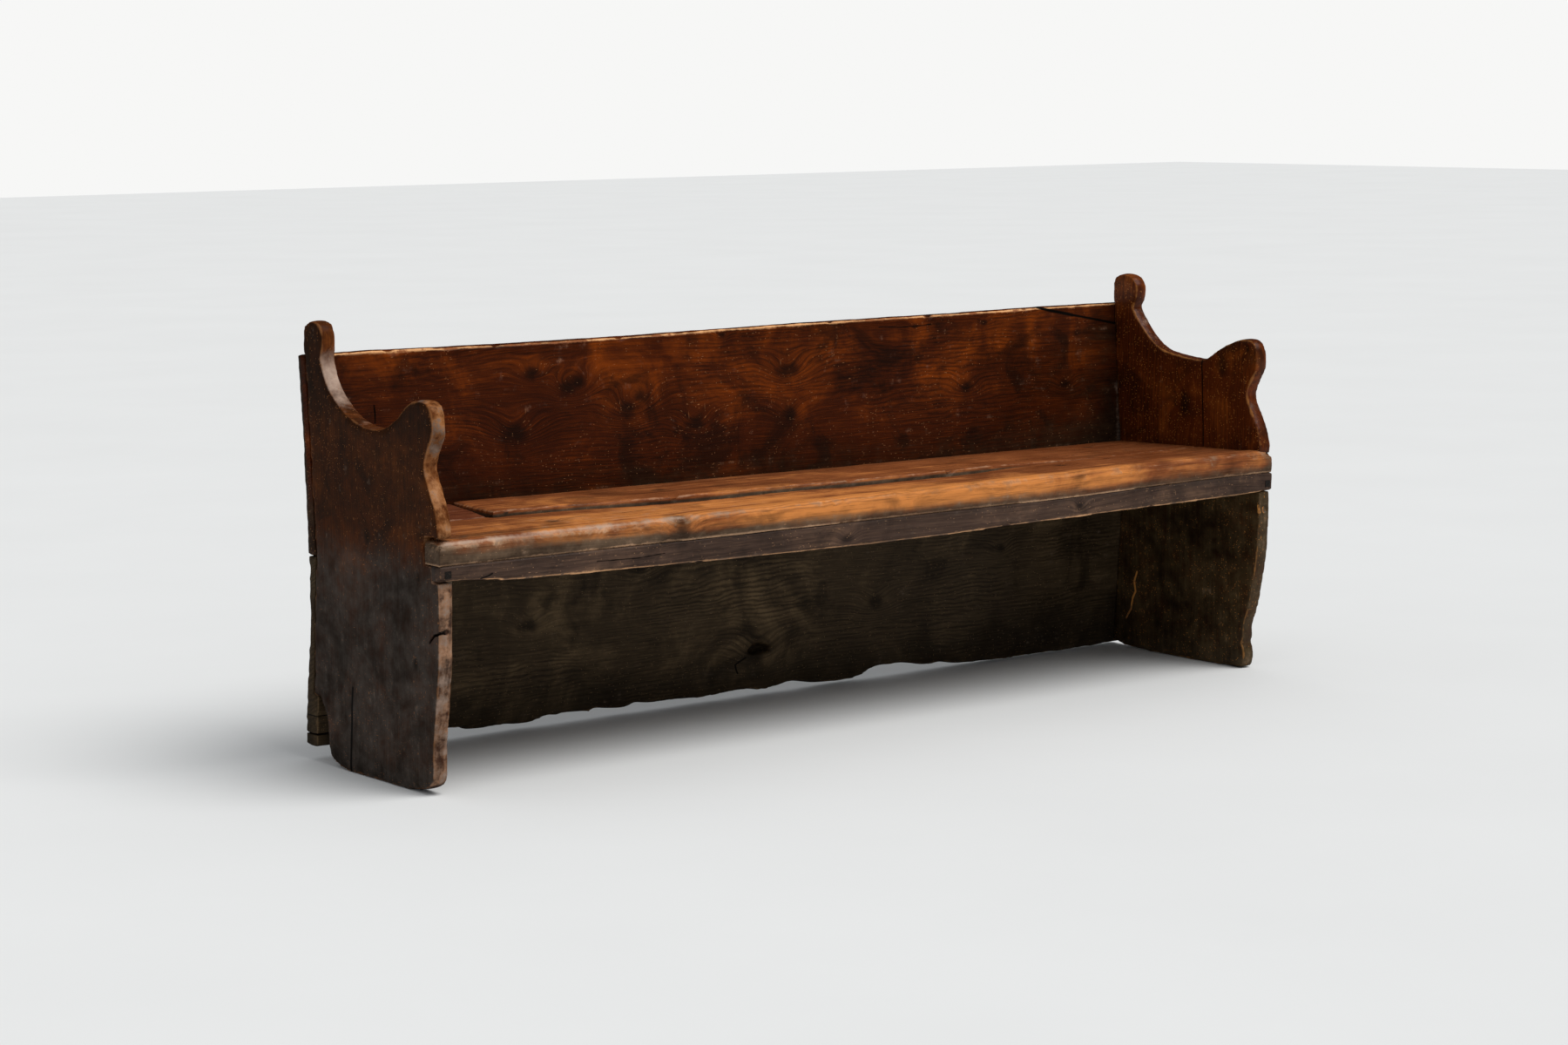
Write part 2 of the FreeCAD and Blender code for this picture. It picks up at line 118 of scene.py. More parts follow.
def studio_world():
    """An even sky that mirrors as a dim room and that the camera sees as a pale backdrop."""
    world = bpy.data.worlds.new("studio")
    bpy.context.scene.world = world
    world.use_nodes = True
    nodes, links = world.node_tree.nodes, world.node_tree.links
    nodes.clear()
    output = nodes.new("ShaderNodeOutputWorld")
    fill = nodes.new("ShaderNodeBackground")
    fill.inputs["Color"].default_value = (0.93, 0.96, 1.0, 1)
    fill.inputs["Strength"].default_value = 0.5
    path = nodes.new("ShaderNodeLightPath")
    lit = fill
    for ray, level in (("Is Glossy Ray", 0.14), ("Is Camera Ray", 0.93)):
        seen = nodes.new("ShaderNodeBackground")
        seen.inputs["Color"].default_value = (level, level, level * 0.99, 1)
        chooser = nodes.new("ShaderNodeMixShader")
        links.new(path.outputs[ray], chooser.inputs[0])
        links.new(lit.outputs[0], chooser.inputs[1])
        links.new(seen.outputs[0], chooser.inputs[2])
        lit = chooser
    links.new(lit.outputs[0], output.inputs["Surface"])
    print("The sky fills the shadows at", fill.inputs["Strength"].default_value)


studio_world()

# %% The lamp


def broad_lamp(name, towards_lamp, spread, strength):
    """A sun with a wide disc: even over the whole floor, with shadows as soft as a large softbox gives."""
    lamp = bpy.data.lights.new(name, "SUN")
    lamp.angle = math.radians(spread)
    lamp.energy = strength
    holder = bpy.data.objects.new(name, lamp)
    bpy.context.scene.collection.objects.link(holder)
    holder.rotation_euler = Vector(towards_lamp).to_track_quat("Z", "Y").to_euler()
    print(name, "shines with a strength of", strength)


broad_lamp("overhead_lamp", (0.28, -0.46, 0.84), 42, 2.2)

# %% [markdown]
# ## Sums on sockets
#
# A finish is a recipe of numbers that vary over a surface. Written as nodes it is hard to read; written as
# sums it isn't. The class below wraps a node's output so that Python's own operators add the Math nodes, and the
# finish has one method that makes any other node.

# %% A number that varies over a surface


class Mark:
    """One output of a node, usable in sums."""

    def __init__(self, finish, socket):
        self.finish = finish
        self.socket = socket

    def sums(self, operation, *values):
        """A Math node on some values, as a new mark."""
        node = self.finish.node("ShaderNodeMath", {"operation": operation}, dict(enumerate(values)))
        return Mark(self.finish, node.outputs[0])

    def __add__(self, other):
        return self.sums("ADD", self, other)

    def __mul__(self, other):
        return self.sums("MULTIPLY", self, other)

    def __sub__(self, other):
        return self.sums("SUBTRACT", self, other)

    def __pow__(self, other):
        return self.sums("POWER", self, other)

    def __rsub__(self, other):
        return self.sums("SUBTRACT", other, self)

    __radd__ = __add__
    __rmul__ = __mul__

    def between(self, low, high):
        """0 below low, 1 above high and a smooth step between; high may be the smaller."""
        node = self.finish.node("ShaderNodeMapRange", {"interpolation_type": "SMOOTHSTEP"},
                                {"Value": self, "From Min": low, "From Max": high})
        return Mark(self.finish, node.outputs[0])


# %% A finish and its nodes


def paint(red, green, blue):
    """A colour given from 0 to 255, as Blender's linear colour."""
    return tuple(((c / 255 + 0.055) / 1.055) ** 2.4 if c > 10 else c / 255 / 12.92 for c in (red, green, blue)) + (1,)


class Finish:
    """A material under construction."""

    def __init__(self, name):
        self.material = bpy.data.materials.new(name)
        self.material.use_nodes = True
        self.tree = self.material.node_tree
        self.shader = self.tree.nodes["Principled BSDF"]

    def node(self, kind, settings=None, values=None):
        """Any node: its type, its settings, and the numbers or marks for its sockets."""
        node = self.tree.nodes.new(kind)
        for name, setting in (settings or {}).items():
            setattr(node, name, setting)
        for name, value in (values or {}).items():
            self.feed(node.inputs[name], value)
        return node

    def feed(self, socket, value):
        """A mark is linked to the socket, a plain value is set on it."""
        if isinstance(value, Mark):
            self.tree.links.new(value.socket, socket)
        else:
            socket.default_value = value

    def stored(self, name, output="Fac"):
        """What the weathering step stored on the mesh's points under that name."""
        return Mark(self, self.node("ShaderNodeAttribute", {"attribute_name": name}).outputs[output])

    def here(self):
        """Places in the piece's own space."""
        return Mark(self, self.node("ShaderNodeTexCoord").outputs["Object"])

    def stretched(self, vector, scale):
        node = self.node("ShaderNodeVectorMath", {"operation": "MULTIPLY"}, {0: vector, 1: scale})
        return Mark(self, node.outputs["Vector"])

    def cloud(self, vector, scale=1.0, detail=3.0, rough=0.55, swirl=0.0):
        """Soft noise from about 0 to 1."""
        node = self.node("ShaderNodeTexNoise", {"noise_dimensions": "3D"},
                         {"Vector": vector, "Scale": scale, "Detail": detail, "Roughness": rough, "Distortion": swirl})
        return Mark(self, node.outputs[0])

    def specks(self, vector, size, share):
        """Small marks, one to a cell of the stretched space, in a share of its cells."""
        cells = self.node("ShaderNodeTexVoronoi", {}, {"Vector": vector, "Scale": 1.0, "Randomness": 1.0})
        lots = self.node("ShaderNodeSeparateColor", {}, {0: Mark(self, cells.outputs["Color"])})
        drawn = (Mark(self, lots.outputs[0]) - (1 - share)).between(0, 0.01)
        return Mark(self, cells.outputs["Distance"]).between(size, size * 0.5) * drawn

    def blend(self, below, above, amount):
        """One colour over another."""
        node = self.node("ShaderNodeMix", {"data_type": "RGBA"}, {0: amount, 6: below, 7: above})
        return Mark(self, node.outputs[2])

    def done(self, colour, roughness, height, relief):
        """Gives the shader its colour and roughness, and a bump as deep as relief."""
        self.feed(self.shader.inputs["Base Color"], colour)
        self.feed(self.shader.inputs["Roughness"], roughness)
        bump = self.node("ShaderNodeBump", {}, {"Height": height, "Distance": relief, "Strength": 1.0})
        self.feed(self.shader.inputs["Normal"], Mark(self, bump.outputs[0]))
        return self.material


# %% [markdown]
# ## The floor
#
# The floor is one pale matt sheet. It takes the bench's soft shadow and stays out of the way.

# %% Lay the floor


def lay_floor():
    bpy.ops.mesh.primitive_plane_add(size=60, location=(0, 0, -0.0005))
    floor = bpy.context.object
    floor.name = "studio_floor"
    finish = Finish("pale_floor")
    mottle = finish.cloud(finish.here(), 1.2, 4.0)
    colour = finish.blend(paint(226, 226, 224), paint(234, 234, 232), mottle)
    floor.data.materials.append(finish.done(colour, 0.85 - mottle * 0.1, mottle, 0.0004))
    print("The floor is", floor.dimensions.x, "m wide")


lay_floor()

# %% [markdown]
# ## Noise for the saw bench
#
# Wood moves and wears in long lazy shapes. The weathering below needs noise on tens of thousands of points at
# once, so it's worked out for whole arrays: random numbers at the corners of a lattice, blended smoothly.

# %% Smooth noise on arrays of points


def lattice(cells, seed):
    """A number from 0 to 1 for each corner of the lattice, always the same for the same corner."""
    hashed = np.sin(cells @ np.array([127.1, 311.7, 74.7]) + seed * 37.719) * 43758.5453
    return hashed - np.floor(hashed)


ASKEW = np.array(Matrix.Rotation(0.7, 3, (0.5, 0.3, 0.8)))


def noise(points, scale, seed=0):
    """Smooth noise from -1 to 1; scale is the size of its features along each axis, in metres.

    The lattice stands askew to the plank, or its squares would show.
    """
    points = (points / np.array(scale) + seed * 11.3) @ ASKEW
    base = np.floor(points)
    inside = points - base
    inside = inside * inside * (3 - 2 * inside)
    total = np.zeros(len(points))
    for corner in itertools.product((0, 1), repeat=3):
        weight = np.prod(np.where(np.array(corner) == 1, inside, 1 - inside), axis=1)
        total += weight * lattice(base + corner, seed)
    return total * 2 - 1


def step(value, low, high):
    """0 at low, 1 at high, smooth between."""
    share = np.clip((value - low) / (high - low), 0, 1)
    return share * share * (3 - 2 * share)


def away_from(points, path, closed=False):
    """Distance of 2-D points from a path of straight pieces."""
    path = np.asarray(path, float)
    ends = np.roll(path, -1, axis=0) if closed else path[1:]
    starts = path if closed else path[:-1]
    nearest = np.full(len(points), 1e9)
    for start, end in zip(starts, ends):
        run = end - start
        share = np.clip(((points - start) @ run) / max(run @ run, 1e-12), 0, 1)
        nearest = np.minimum(nearest, np.linalg.norm(points - start - share[:, None] * run, axis=1))
    return nearest


# %% [markdown]
# ## Sawing and softening a plank
#
# Each plank is an outline sawn from a slab. In a plank's own flat frame, u and v lie in its face and t goes
# through it. A voxel remesh turns the sharp prism into an even skin of small quads and takes the hardness off
# its corners, as hands and dusters do, and the even quads are what the weathering needs. Modelling the worn
# arris by hand with bevels would leave every edge equally round, which is how a new bench looks.

# %% Outlines


def curve_through(points, spacing=0.006):
    """A smooth closed line through points; a point given as (u, v, 0) keeps its sharp corner."""
    corners = [np.array(p[:2], float) for p in points]
    sharp = [len(p) > 2 for p in points]
    line = []
    for i in range(len(corners)):
        p0, p1, p2, p3 = (corners[(i + k) % len(corners)] for k in (-1, 0, 1, 2))
        if sharp[i]:
            p0 = p1 * 2 - p2
        if sharp[(i + 1) % len(corners)]:
            p3 = p2 * 2 - p1
        pieces = max(1, int(np.linalg.norm(p2 - p1) / spacing))
        for s in np.arange(pieces) / pieces:
            line.append(0.5 * (2 * p1 + (p2 - p0) * s + (2 * p0 - 5 * p1 + 4 * p2 - p3) * s * s
                               + (3 * p1 - p0 - 3 * p2 + p3) * s ** 3))
    return np.array(line)


# %% The plank


def prism(name, outline, low, high):
    """A sharp slab between two levels."""
    work = bmesh.new()
    face = work.faces.new([work.verts.new((u, v, low)) for u, v in outline])
    lifted = bmesh.ops.extrude_face_region(work, geom=[face])["geom"]
    top = [part for part in lifted if isinstance(part, bmesh.types.BMVert)]
    bmesh.ops.translate(work, verts=top, vec=(0, 0, high - low))
    bmesh.ops.recalc_face_normals(work, faces=work.faces)
    bmesh.ops.triangulate(work, faces=work.faces)
    mesh = bpy.data.meshes.new(name)
    work.to_mesh(mesh)
    work.free()
    piece = bpy.data.objects.new(name, mesh)
    bpy.context.scene.collection.objects.link(piece)
    return piece


class Plank:
    """A slab sawn to an outline, in its own flat frame, on its way to becoming a piece of the bench."""

    def __init__(self, name, outline, thickness, cell, soften=4, hole=None, hole_depth=0.0):
        self.outline = np.asarray(outline, float)
        self.thickness = thickness
        self.piece = prism(name, self.outline, 0, thickness)
        if hole is not None:
            cutter = prism("knot_plug", hole, -thickness, hole_depth)
            bore = self.piece.modifiers.new("knot_hole", "BOOLEAN")
            bore.object = cutter
            self.settle()
            bpy.data.objects.remove(cutter)
        remesh = self.piece.modifiers.new("skin", "REMESH")
        remesh.mode = "VOXEL"
        remesh.voxel_size = cell
        smooth = self.piece.modifiers.new("rubbed", "SMOOTH")
        smooth.factor = 0.5
        smooth.iterations = soften
        self.settle()
        self.stored = {}
        self.open_cracks = []
        self.read()

    def settle(self):
        """Turns the modifiers into plain mesh."""
        whole = self.piece.evaluated_get(bpy.context.evaluated_depsgraph_get())
        mesh = bpy.data.meshes.new_from_object(whole)
        self.piece.modifiers.clear()
        self.piece.data = mesh

    def read(self):
        """Every point of the skin and the way it faces, as arrays."""
        mesh = self.piece.data
        self.at = np.empty(len(mesh.vertices) * 3)
        mesh.vertices.foreach_get("co", self.at)
        self.at = self.at.reshape(-1, 3)
        facing = np.empty(len(mesh.vertices) * 3)
        mesh.vertices.foreach_get("normal", facing)
        self.facing = facing.reshape(-1, 3)

    def measure(self):
        """How far each point lies from the outline, from the nearer face and from the nearest arris."""
        self.rim = away_from(self.at[:, :2], self.outline, closed=True)
        to_face = np.minimum(np.abs(self.at[:, 2]), np.abs(self.at[:, 2] - self.thickness))
        self.arris = np.maximum(self.rim, to_face)

    def refine(self, path, reach, cuts=3):
        """Smaller quads close to a path, where a crack will need them."""
        work = bmesh.new()
        work.from_mesh(self.piece.data)
        middles = np.array([face.calc_center_median()[:2] for face in work.faces])
        work.faces.ensure_lookup_table()
        near = np.nonzero(away_from(middles, path) < reach)[0]
        edges = {edge for index in near for edge in work.faces[index].edges}
        bmesh.ops.subdivide_edges(work, edges=list(edges), cuts=cuts, use_grid_fill=True)
        bmesh.ops.triangulate(work, faces=[f for f in work.faces if len(f.verts) > 4])
        work.to_mesh(self.piece.data)
        work.free()
        self.read()

    def push(self, amount):
        """Moves the skin in or out along its own facing."""
        self.at += self.facing * np.asarray(amount)[:, None]


print("Ready to saw")

# %% [markdown]
# ## Weathering
#
# What age does to a plank is stored twice. The shape moves: faces cup a little, arrises wear unevenly, chips fall out.
# And each point of the skin remembers numbers that the finish will read later: which way the grain runs, how near an
# arris is, where a knot has smoked the wood, where hands or feet have rubbed it, where grime settled, and where light
# and shade are painted into its colour. Points remember these better than picture files would, because they follow the
# shape everywhere.

# %% Grain, knots and wear


def grow_grain(plank, along, seed, knots=(), slope=0.35):
    """Stores the grain: the way along it, the growth rings across it, which bend round knots, and the depth.

    A knot is (u, v, radius) in millimetres.
    """
    lengthwise = plank.at[:, along].copy()
    across = plank.at[:, 1 - along].copy()
    stretch = (0.5, 0.09, 0.2) if along == 0 else (0.09, 0.5, 0.2)
    rings = across + plank.at[:, 2] * slope + noise(plank.at, stretch, seed) * 0.016
    smoke_and_shade = np.zeros(len(across))
    for u, v, radius in np.array(knots, float) * MM:
        centre = (u, v)
        away = np.hypot((plank.at[:, along] - centre[along]) / 1.5, plank.at[:, 1 - along] - centre[1 - along])
        rings += radius * 1.5 * np.exp(-(away / (radius * 1.7)) ** 2)
        ragged = away * (1 + 0.25 * noise(plank.at, (0.02, 0.02, 0.1), seed + 5))
        smoke_and_shade = np.maximum(smoke_and_shade, np.exp(-(ragged / radius) ** 2))
    plank.stored["grain"] = np.column_stack((lengthwise, rings, plank.at[:, 2]))
    plank.stored["smoke_and_shade"] = smoke_and_shade


def wear_shape(plank, seed, cup=0.0006, rub=0.002, reach=0.016, spared=0.0):
    """Uneven faces and unevenly worn arrises, save where a share of the wear is spared."""
    plank.measure()
    slow = noise(plank.at, (0.22, 0.12, 0.3), seed)
    quick = noise(plank.at, (0.035, 0.03, 0.06), seed + 1)
    fine = noise(plank.at, (0.011, 0.009, 0.02), seed + 2)
    plank.push(cup * (slow + 0.35 * quick))
    near = step(plank.arris, reach, 0) * (1 - spared)
    plank.push(-rub * near * (0.55 + 0.6 * noise(plank.at, (0.05, 0.05, 0.05), seed + 3) + 0.35 * fine))


def chip(plank, places):
    """Bites out of the wood: each is (u, v, t, radius, depth), in millimetres."""
    for u, v, t, radius, depth in places:
        away = np.linalg.norm(plank.at - np.array((u, v, t)) * MM, axis=1) / (radius * MM)
        bite = np.clip(1 - away * (1 + 0.35 * noise(plank.at, (0.008, 0.008, 0.008), u)), 0, 1)
        plank.push(-depth * MM * step(bite, 0, 0.55))


def on_side(plank, side):
    """Which points are on the "low" or the "high" side of the plank's middle; "both" takes them all."""
    low = plank.at[:, 2] < plank.thickness / 2
    return {"low": low, "high": ~low, "both": np.ones(len(low), bool)}[side]


def crack(plank, path, width, depth, side="low"):
    """A drying crack along a path, given in millimetres; its width is at the surface."""
    path = np.array(path, float) * MM
    plank.refine(path, 0.007)
    away = away_from(plank.at[:, :2] + noise(plank.at, (0.01, 0.01, 0.01), 3)[:, None] * 0.0007, path)
    share = np.clip(1 - away / (width * MM), 0, 1) ** 0.6
    plank.open_cracks.append((path, width, side))
    plank.push(-depth * MM * share * on_side(plank, side))


def store_cracks(plank):
    """Remembers where the cracks are, so that the finish can make them dark."""
    dark = np.zeros(len(plank.at))
    for path, width, side in plank.open_cracks:
        away = away_from(plank.at[:, :2], path)
        dark = np.maximum(dark, (1 - step(away, width * MM * 0.7, width * MM * 1.6)) * on_side(plank, side))
    plank.stored["crack"] = dark


def patches(plank, places):
    """Soft patches, each (u, v, half width, half height, strength) in millimetres."""
    total = np.zeros(len(plank.at))
    wander = noise(plank.at, (0.05, 0.035, 0.1), 21) * 0.25
    for u, v, wide, high, strength in places:
        away = np.hypot((plank.at[:, 0] - u * MM) / (wide * MM), (plank.at[:, 1] - v * MM) / (high * MM))
        total += strength * np.exp(-(away * (1 + wander)) ** 2)
    return total


# %% Laying a plank in place


def lay(plank, place, material, node):
    """Writes the weathered skin back, moved from the plank's flat frame to its place in the bench."""
    plank.stored["arris"] = plank.arris
    for name in ("tone_light_and_shade", "grime_and_shade", "rubbed", "sheen_and_haze", "peppered"):
        plank.stored.setdefault(name, np.zeros(len(plank.at)))
    mesh = plank.piece.data
    mesh.vertices.foreach_set("co", place(plank.at).astype(np.float32).ravel())
    for name, values in plank.stored.items():
        kind = "FLOAT_VECTOR" if values.ndim == 2 else "FLOAT"
        layer = mesh.attributes.new(name, kind, "POINT")
        layer.data.foreach_set("vector" if kind == "FLOAT_VECTOR" else "value", values.astype(np.float32).ravel())
    mesh.polygons.foreach_set("use_smooth", np.ones(len(mesh.polygons), bool))
    mesh.materials.clear()
    mesh.materials.append(material)
    mesh.update()
    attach(plank.piece, "root")
    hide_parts(node)
    print(node, "has", len(mesh.polygons), "faces")


# %% [markdown]
# ## The finish: old polished softwood
#
# One recipe makes every visible board, mixed differently for each. Under the polish, softwood shows pale wood between
# dark late-wood lines. Years of oil, smoke and hands darken it in blotches, the arrises rub back to bare pale wood,
# dents collect black, and small pale specks of plaster and wax stand in places for painted glints of polish. The recipe
# also paints the light and shade that each plank stores: lit patches, sheen on curves and edges, and shade at ends,
# joints and under the seat. The late-wood lines are a sine of the ring number, so they close into eyes wherever the
# rings bend round a knot.

# %% The recipe


def old_wood(name, deep, middle, light, worn, black, grey, gloss=0.36, figure=0.6, ring=0.0085, glint_and_speck_share=0.5,
             patina=0.5, smoky=0.4, streaks=1.0, shine=0.12, fibrous=0.45, stain=None):
    """Six colours, from deep wood to the dust in its dents, and how much of each habit this board has.

    ring is the width of a growth ring in metres; figure is how dark its late wood shows.
    """
    finish = Finish(name)
    grain = finish.stored("grain", "Vector")
    here = finish.here()
    rings = Mark(finish, finish.node("ShaderNodeSeparateXYZ", {}, {0: grain}).outputs[1])
    sway = finish.cloud(finish.stretched(grain, (8.0, 20, 12)), 1, 3, 0.55)
    strands = finish.cloud(finish.stretched(grain, (2.6, 90, 50)), 1, 5, 0.62)
    fibres = finish.cloud(finish.stretched(grain, (13, 520, 400)), 1, 4, 0.7)
    blotch = finish.cloud(here, 6.5, 5, 0.62, 0.9)
    mottle = finish.cloud(here, 36, 4, 0.66)
    turns = (rings + sway * 0.034) * (2 * math.pi / ring)
    late = (turns.sums("SINE", turns) * 0.5 + 0.5) ** 1.6
    bold = finish.cloud(finish.stretched(grain, (2.2, 7, 7)), 1, 3, 0.55).between(0.38, 0.62)
    lines = late * (bold * 0.8 + 0.2) * figure

    # The wood under the polish: tone, lighter and darker patches that carry the painted light and painted shade stored
    # on the plank, growth rings, fibres and smoky drifts
    tone_light_and_shade = finish.stored("tone_light_and_shade")
    tone = (strands - 0.5) * (1.7 * streaks) + (blotch - 0.5) * 1.7 + tone_light_and_shade * 0.5 + 0.5
    colour = finish.blend(deep, middle, tone)
    tone_light_and_shade = tone_light_and_shade + (blotch - 0.5) * 2.4 + (strands - 0.5) * (1.6 * streaks)
    colour = finish.blend(colour, light, tone_light_and_shade.between(0.0, 1.0))
    colour = finish.blend(colour, black, lines * 0.8)
    colour = finish.blend(colour, black, (0.5 - fibres).between(0.0, 0.2) * fibrous)
    colour = finish.blend(colour, light, (fibres - 0.5).between(0.02, 0.2) * 0.3)
    drift = finish.cloud(finish.stretched(here, (7.5, 7.5, 9.5)), 1, 5, 0.62, 0.8)
    colour = finish.blend(colour, black, drift.between(0.50, 0.66) * smoky)

    # What settled on it, and painted shade: grime with dust on it, smoky darkening round the knots, and the painted
    # shade that some planks store with these
    grime_shade_mix = finish.stored("grime_and_shade") + (mottle - 0.5) * 0.5 + (strands - 0.5) * streaks + (0.5 - blotch) * patina
    grime_shade_mix = grime_shade_mix.between(0.1, 1.0)
    dusty = strands * (0.4 * streaks) + drift * (0.5 - 0.4 * streaks) + blotch * 0.5 + (mottle - 0.5) * 0.4
    dusty = (dusty + (fibres - 0.5) * 0.2).between(0.28, 0.74) * 0.8
    colour = finish.blend(colour, finish.blend(black, grey, dusty), grime_shade_mix)
    smoke_and_shade = finish.stored("smoke_and_shade")
    colour = finish.blend(colour, black, (smoke_and_shade + (mottle - 0.5) * 0.8).between(0.15, 1.0) * 0.8)

    # What hands and heels took away again, down to bare wood that is stained here and there
    bare = (finish.stored("rubbed") * 1.2 + (mottle - 0.5) * 1.6 + (strands - 0.5) * 0.9).between(0.25, 0.95)
    edge = (finish.stored("arris") + (mottle - 0.5) * 0.014 + (blotch - 0.5) * 0.012).between(0.0042, 0.0)
    stained = finish.blend(worn, stain or grey, (mottle - blotch + strands * 0.4 - 0.2).between(-0.02, 0.14) * 0.85)
    colour = finish.blend(colour, stained, bare)
    colour = finish.blend(colour, worn, edge * 0.3)
    # Painted sheen: a pale pinkish grey laid where the plank stored it, standing for polish highlights on curves and on
    # the nosing crest, with a greyish haze on some edges
    sheen_and_haze = (finish.stored("sheen_and_haze") + (mottle - 0.5) * 0.9 + (strands - 0.5) * 0.5).between(0.1, 1.0)
    colour = finish.blend(colour, paint(182, 156, 138), sheen_and_haze)

    # Pale specks of plaster and wax, partly painted glints of polish in small dents, and the dark of open cracks
    marks = (finish.specks(finish.stretched(here, (260, 260, 260)), 0.28, 0.12)
             + finish.specks(finish.stretched(grain, (70, 520, 300)), 0.26, 0.09)
             + finish.specks(finish.stretched(grain, (520, 80, 300)), 0.24, 0.05))
    peppered = blotch * 0.5 + mottle * 0.5 + smoke_and_shade * 0.15 + finish.stored("peppered")
    glint_and_speck = marks * peppered.between(0.46, 0.58) * glint_and_speck_share
    colour = finish.blend(colour, finish.blend(worn, light, 0.35), glint_and_speck)
    open_crack = finish.stored("crack")
    colour = finish.blend(colour, paint(9, 6, 4), open_crack)

    roughness = gloss + (fibres - 0.5) * 0.25 + grime_shade_mix * 0.25 + edge * 0.1 + bare * 0.12 + open_crack * 0.4
    height = fibres * 0.45 + strands * 0.5 + lines * 0.35 - glint_and_speck * 0.5 + mottle * 0.5
    finish.shader.inputs["Specular IOR Level"].default_value = 0.0
    finish.shader.inputs["Coat Weight"].default_value = shine
    finish.shader.inputs["Coat Roughness"].default_value = 0.3
    return finish.done(colour, roughness, height, 0.0004)


# %% [markdown]
# ## Laying out
#
# The back leans, and below the seat it splays out to the floor. These lines give the depth of both, measured
# back from the front edge of the seat, so that planks in their flat frames land where the CAD planks lie.

# %% Where planks go
SEAT_TOP, SEAT_THICK = 460 * MM, 47 * MM
UNDERSIDE = SEAT_TOP - SEAT_THICK
UPPER_THICK, LOWER_THICK = 28 * MM, 44 * MM
BACK_JOINT = UNDERSIDE - UPPER_THICK
PANEL = 32 * MM


def leaning(height):
    """The front face of the upper back."""
    return 0.439 + 0.058 * (height - SEAT_TOP)


def splaying(height):
    """The front face of the lower back."""
    return leaning(BACK_JOINT) - 0.016 + 0.030 * (BACK_JOINT - height) / BACK_JOINT


def in_end(plane):
    """An end panel whose t = 0 face lies in the plane x = plane."""
    return lambda p: np.column_stack((plane + p[:, 2], FRONT + p[:, 0], np.maximum(p[:, 1], 0.0)))


def in_upper_back(p):
    return np.column_stack((p[:, 0] - LENGTH / 2, FRONT + leaning(p[:, 1]) + p[:, 2], p[:, 1]))


def in_lower_back(p):
    return np.column_stack((p[:, 0] - LENGTH / 2, FRONT + splaying(p[:, 1]) + p[:, 2], p[:, 1]))


print("The back boards meet", round(BACK_JOINT, 3), "m above the floor")

# %% Where the seat goes, wound and curled
HALF_LENGTH, HALF_DEPTH = 1.024, 0.2195


def seat_twist(x, station):
    """The seat has wound a little: high at the right front and the left rear."""
    along, across = x / HALF_LENGTH, station / HALF_DEPTH - 1
    return (1.5 + 1.5 * along - 1.0 * across - 5.0 * along * across) * MM


def thinning(x):
    """The nosing was hewn thinner towards the right, and the rail under it comes up to it there."""
    return step(x, 0.25, 1.0) * 0.008


def in_seat(p):
    x = p[:, 0] - LENGTH / 2
    thin = thinning(x) * step(p[:, 2], SEAT_THICK, 0) * step(p[:, 1], 0.044, 0.033)
    twist = seat_twist(x, p[:, 1]) * step(p[:, 2], 0, SEAT_THICK)
    return np.column_stack((x, FRONT + p[:, 1], UNDERSIDE + p[:, 2] + twist + thin))


def curled(height, reach):
    """The seat's place for a plank whose edge at the long joint has curled up, or down if height is negative."""
    def place(p):
        line = np.interp(p[:, 0], *zip(*[(x * MM, station * MM) for x, station in JOINT]))
        curl = np.exp(-np.abs(p[:, 1] - line) / reach) * step(p[:, 0], 1.72, 1.30) * height
        return in_seat(p) + np.column_stack((0 * curl, 0 * curl, curl * step(p[:, 2], 0, SEAT_THICK)))
    return place


def in_rail(p):
    x = p[:, 0] - LENGTH / 2
    lift = thinning(x) * step(p[:, 1], 0.385, UNDERSIDE)
    return np.column_stack((x, FRONT + p[:, 2], p[:, 1] + lift))


print("The seat's left front corner lies", round(seat_twist(-HALF_LENGTH, 0) / MM, 1), "mm off level")


# %% [markdown]
# ## The end panels
#
# Each end is one wide plank. The sawyer cut a round finial to grip at the back, a hollow sweep, a round arm
# and a waist, by eye, so the two don't match: the left has its hollow further back and a deep cut at its rear
# heel, the right has a cusp in its sweep and a worn toe. Tracing each outline through a few points and letting
# a smooth curve run between them keeps that hand-sawn difference. Corners that a saw left sharp are marked.

# %% Outlines of the ends, as (station, height) in millimetres
SHARED_ARM = [(48, 701), (34, 697), (24, 687), (19, 671), (17, 650), (22, 633), (31, 620), (41, 603), (47, 588),
              (46, 574), (38, 558), (29, 540), (21, 525), (14, 510), (9, 492), (6, 474), (6, 461, 0)]
NOTCHES = [(55.6, 461, 0), (55.6, 412.5, 0), (30.6, 412.5, 0), (30.6, 383.5, 0), (8, 383.5, 0)]
LEFT_END = [(120, 0, 0), (341, 0, 0), (371, 5), (396, 14), (407, 28), (410, 60), (412, 88), (420, 106), (436, 118),
            (456, 126, 0), (447, 242), (435, 385, 0), (439, 460), (448, 610), (456, 745), (460, 766), (460, 798),
            (452, 813), (437, 820), (421, 821), (405, 817), (395, 806), (391, 792), (392, 773), (398, 753, 0),
            (391, 734), (374, 705), (347, 681), (311, 660), (267, 645), (224, 639.5), (183, 645), (143, 662),
            (108, 687), (85, 697), (66, 700.5)] + SHARED_ARM + NOTCHES + [
            (8, 335), (12, 241), (21, 176), (25, 148), (32, 108), (36, 70), (36, 46), (39, 24, 0), (58, 12), (90, 4)]
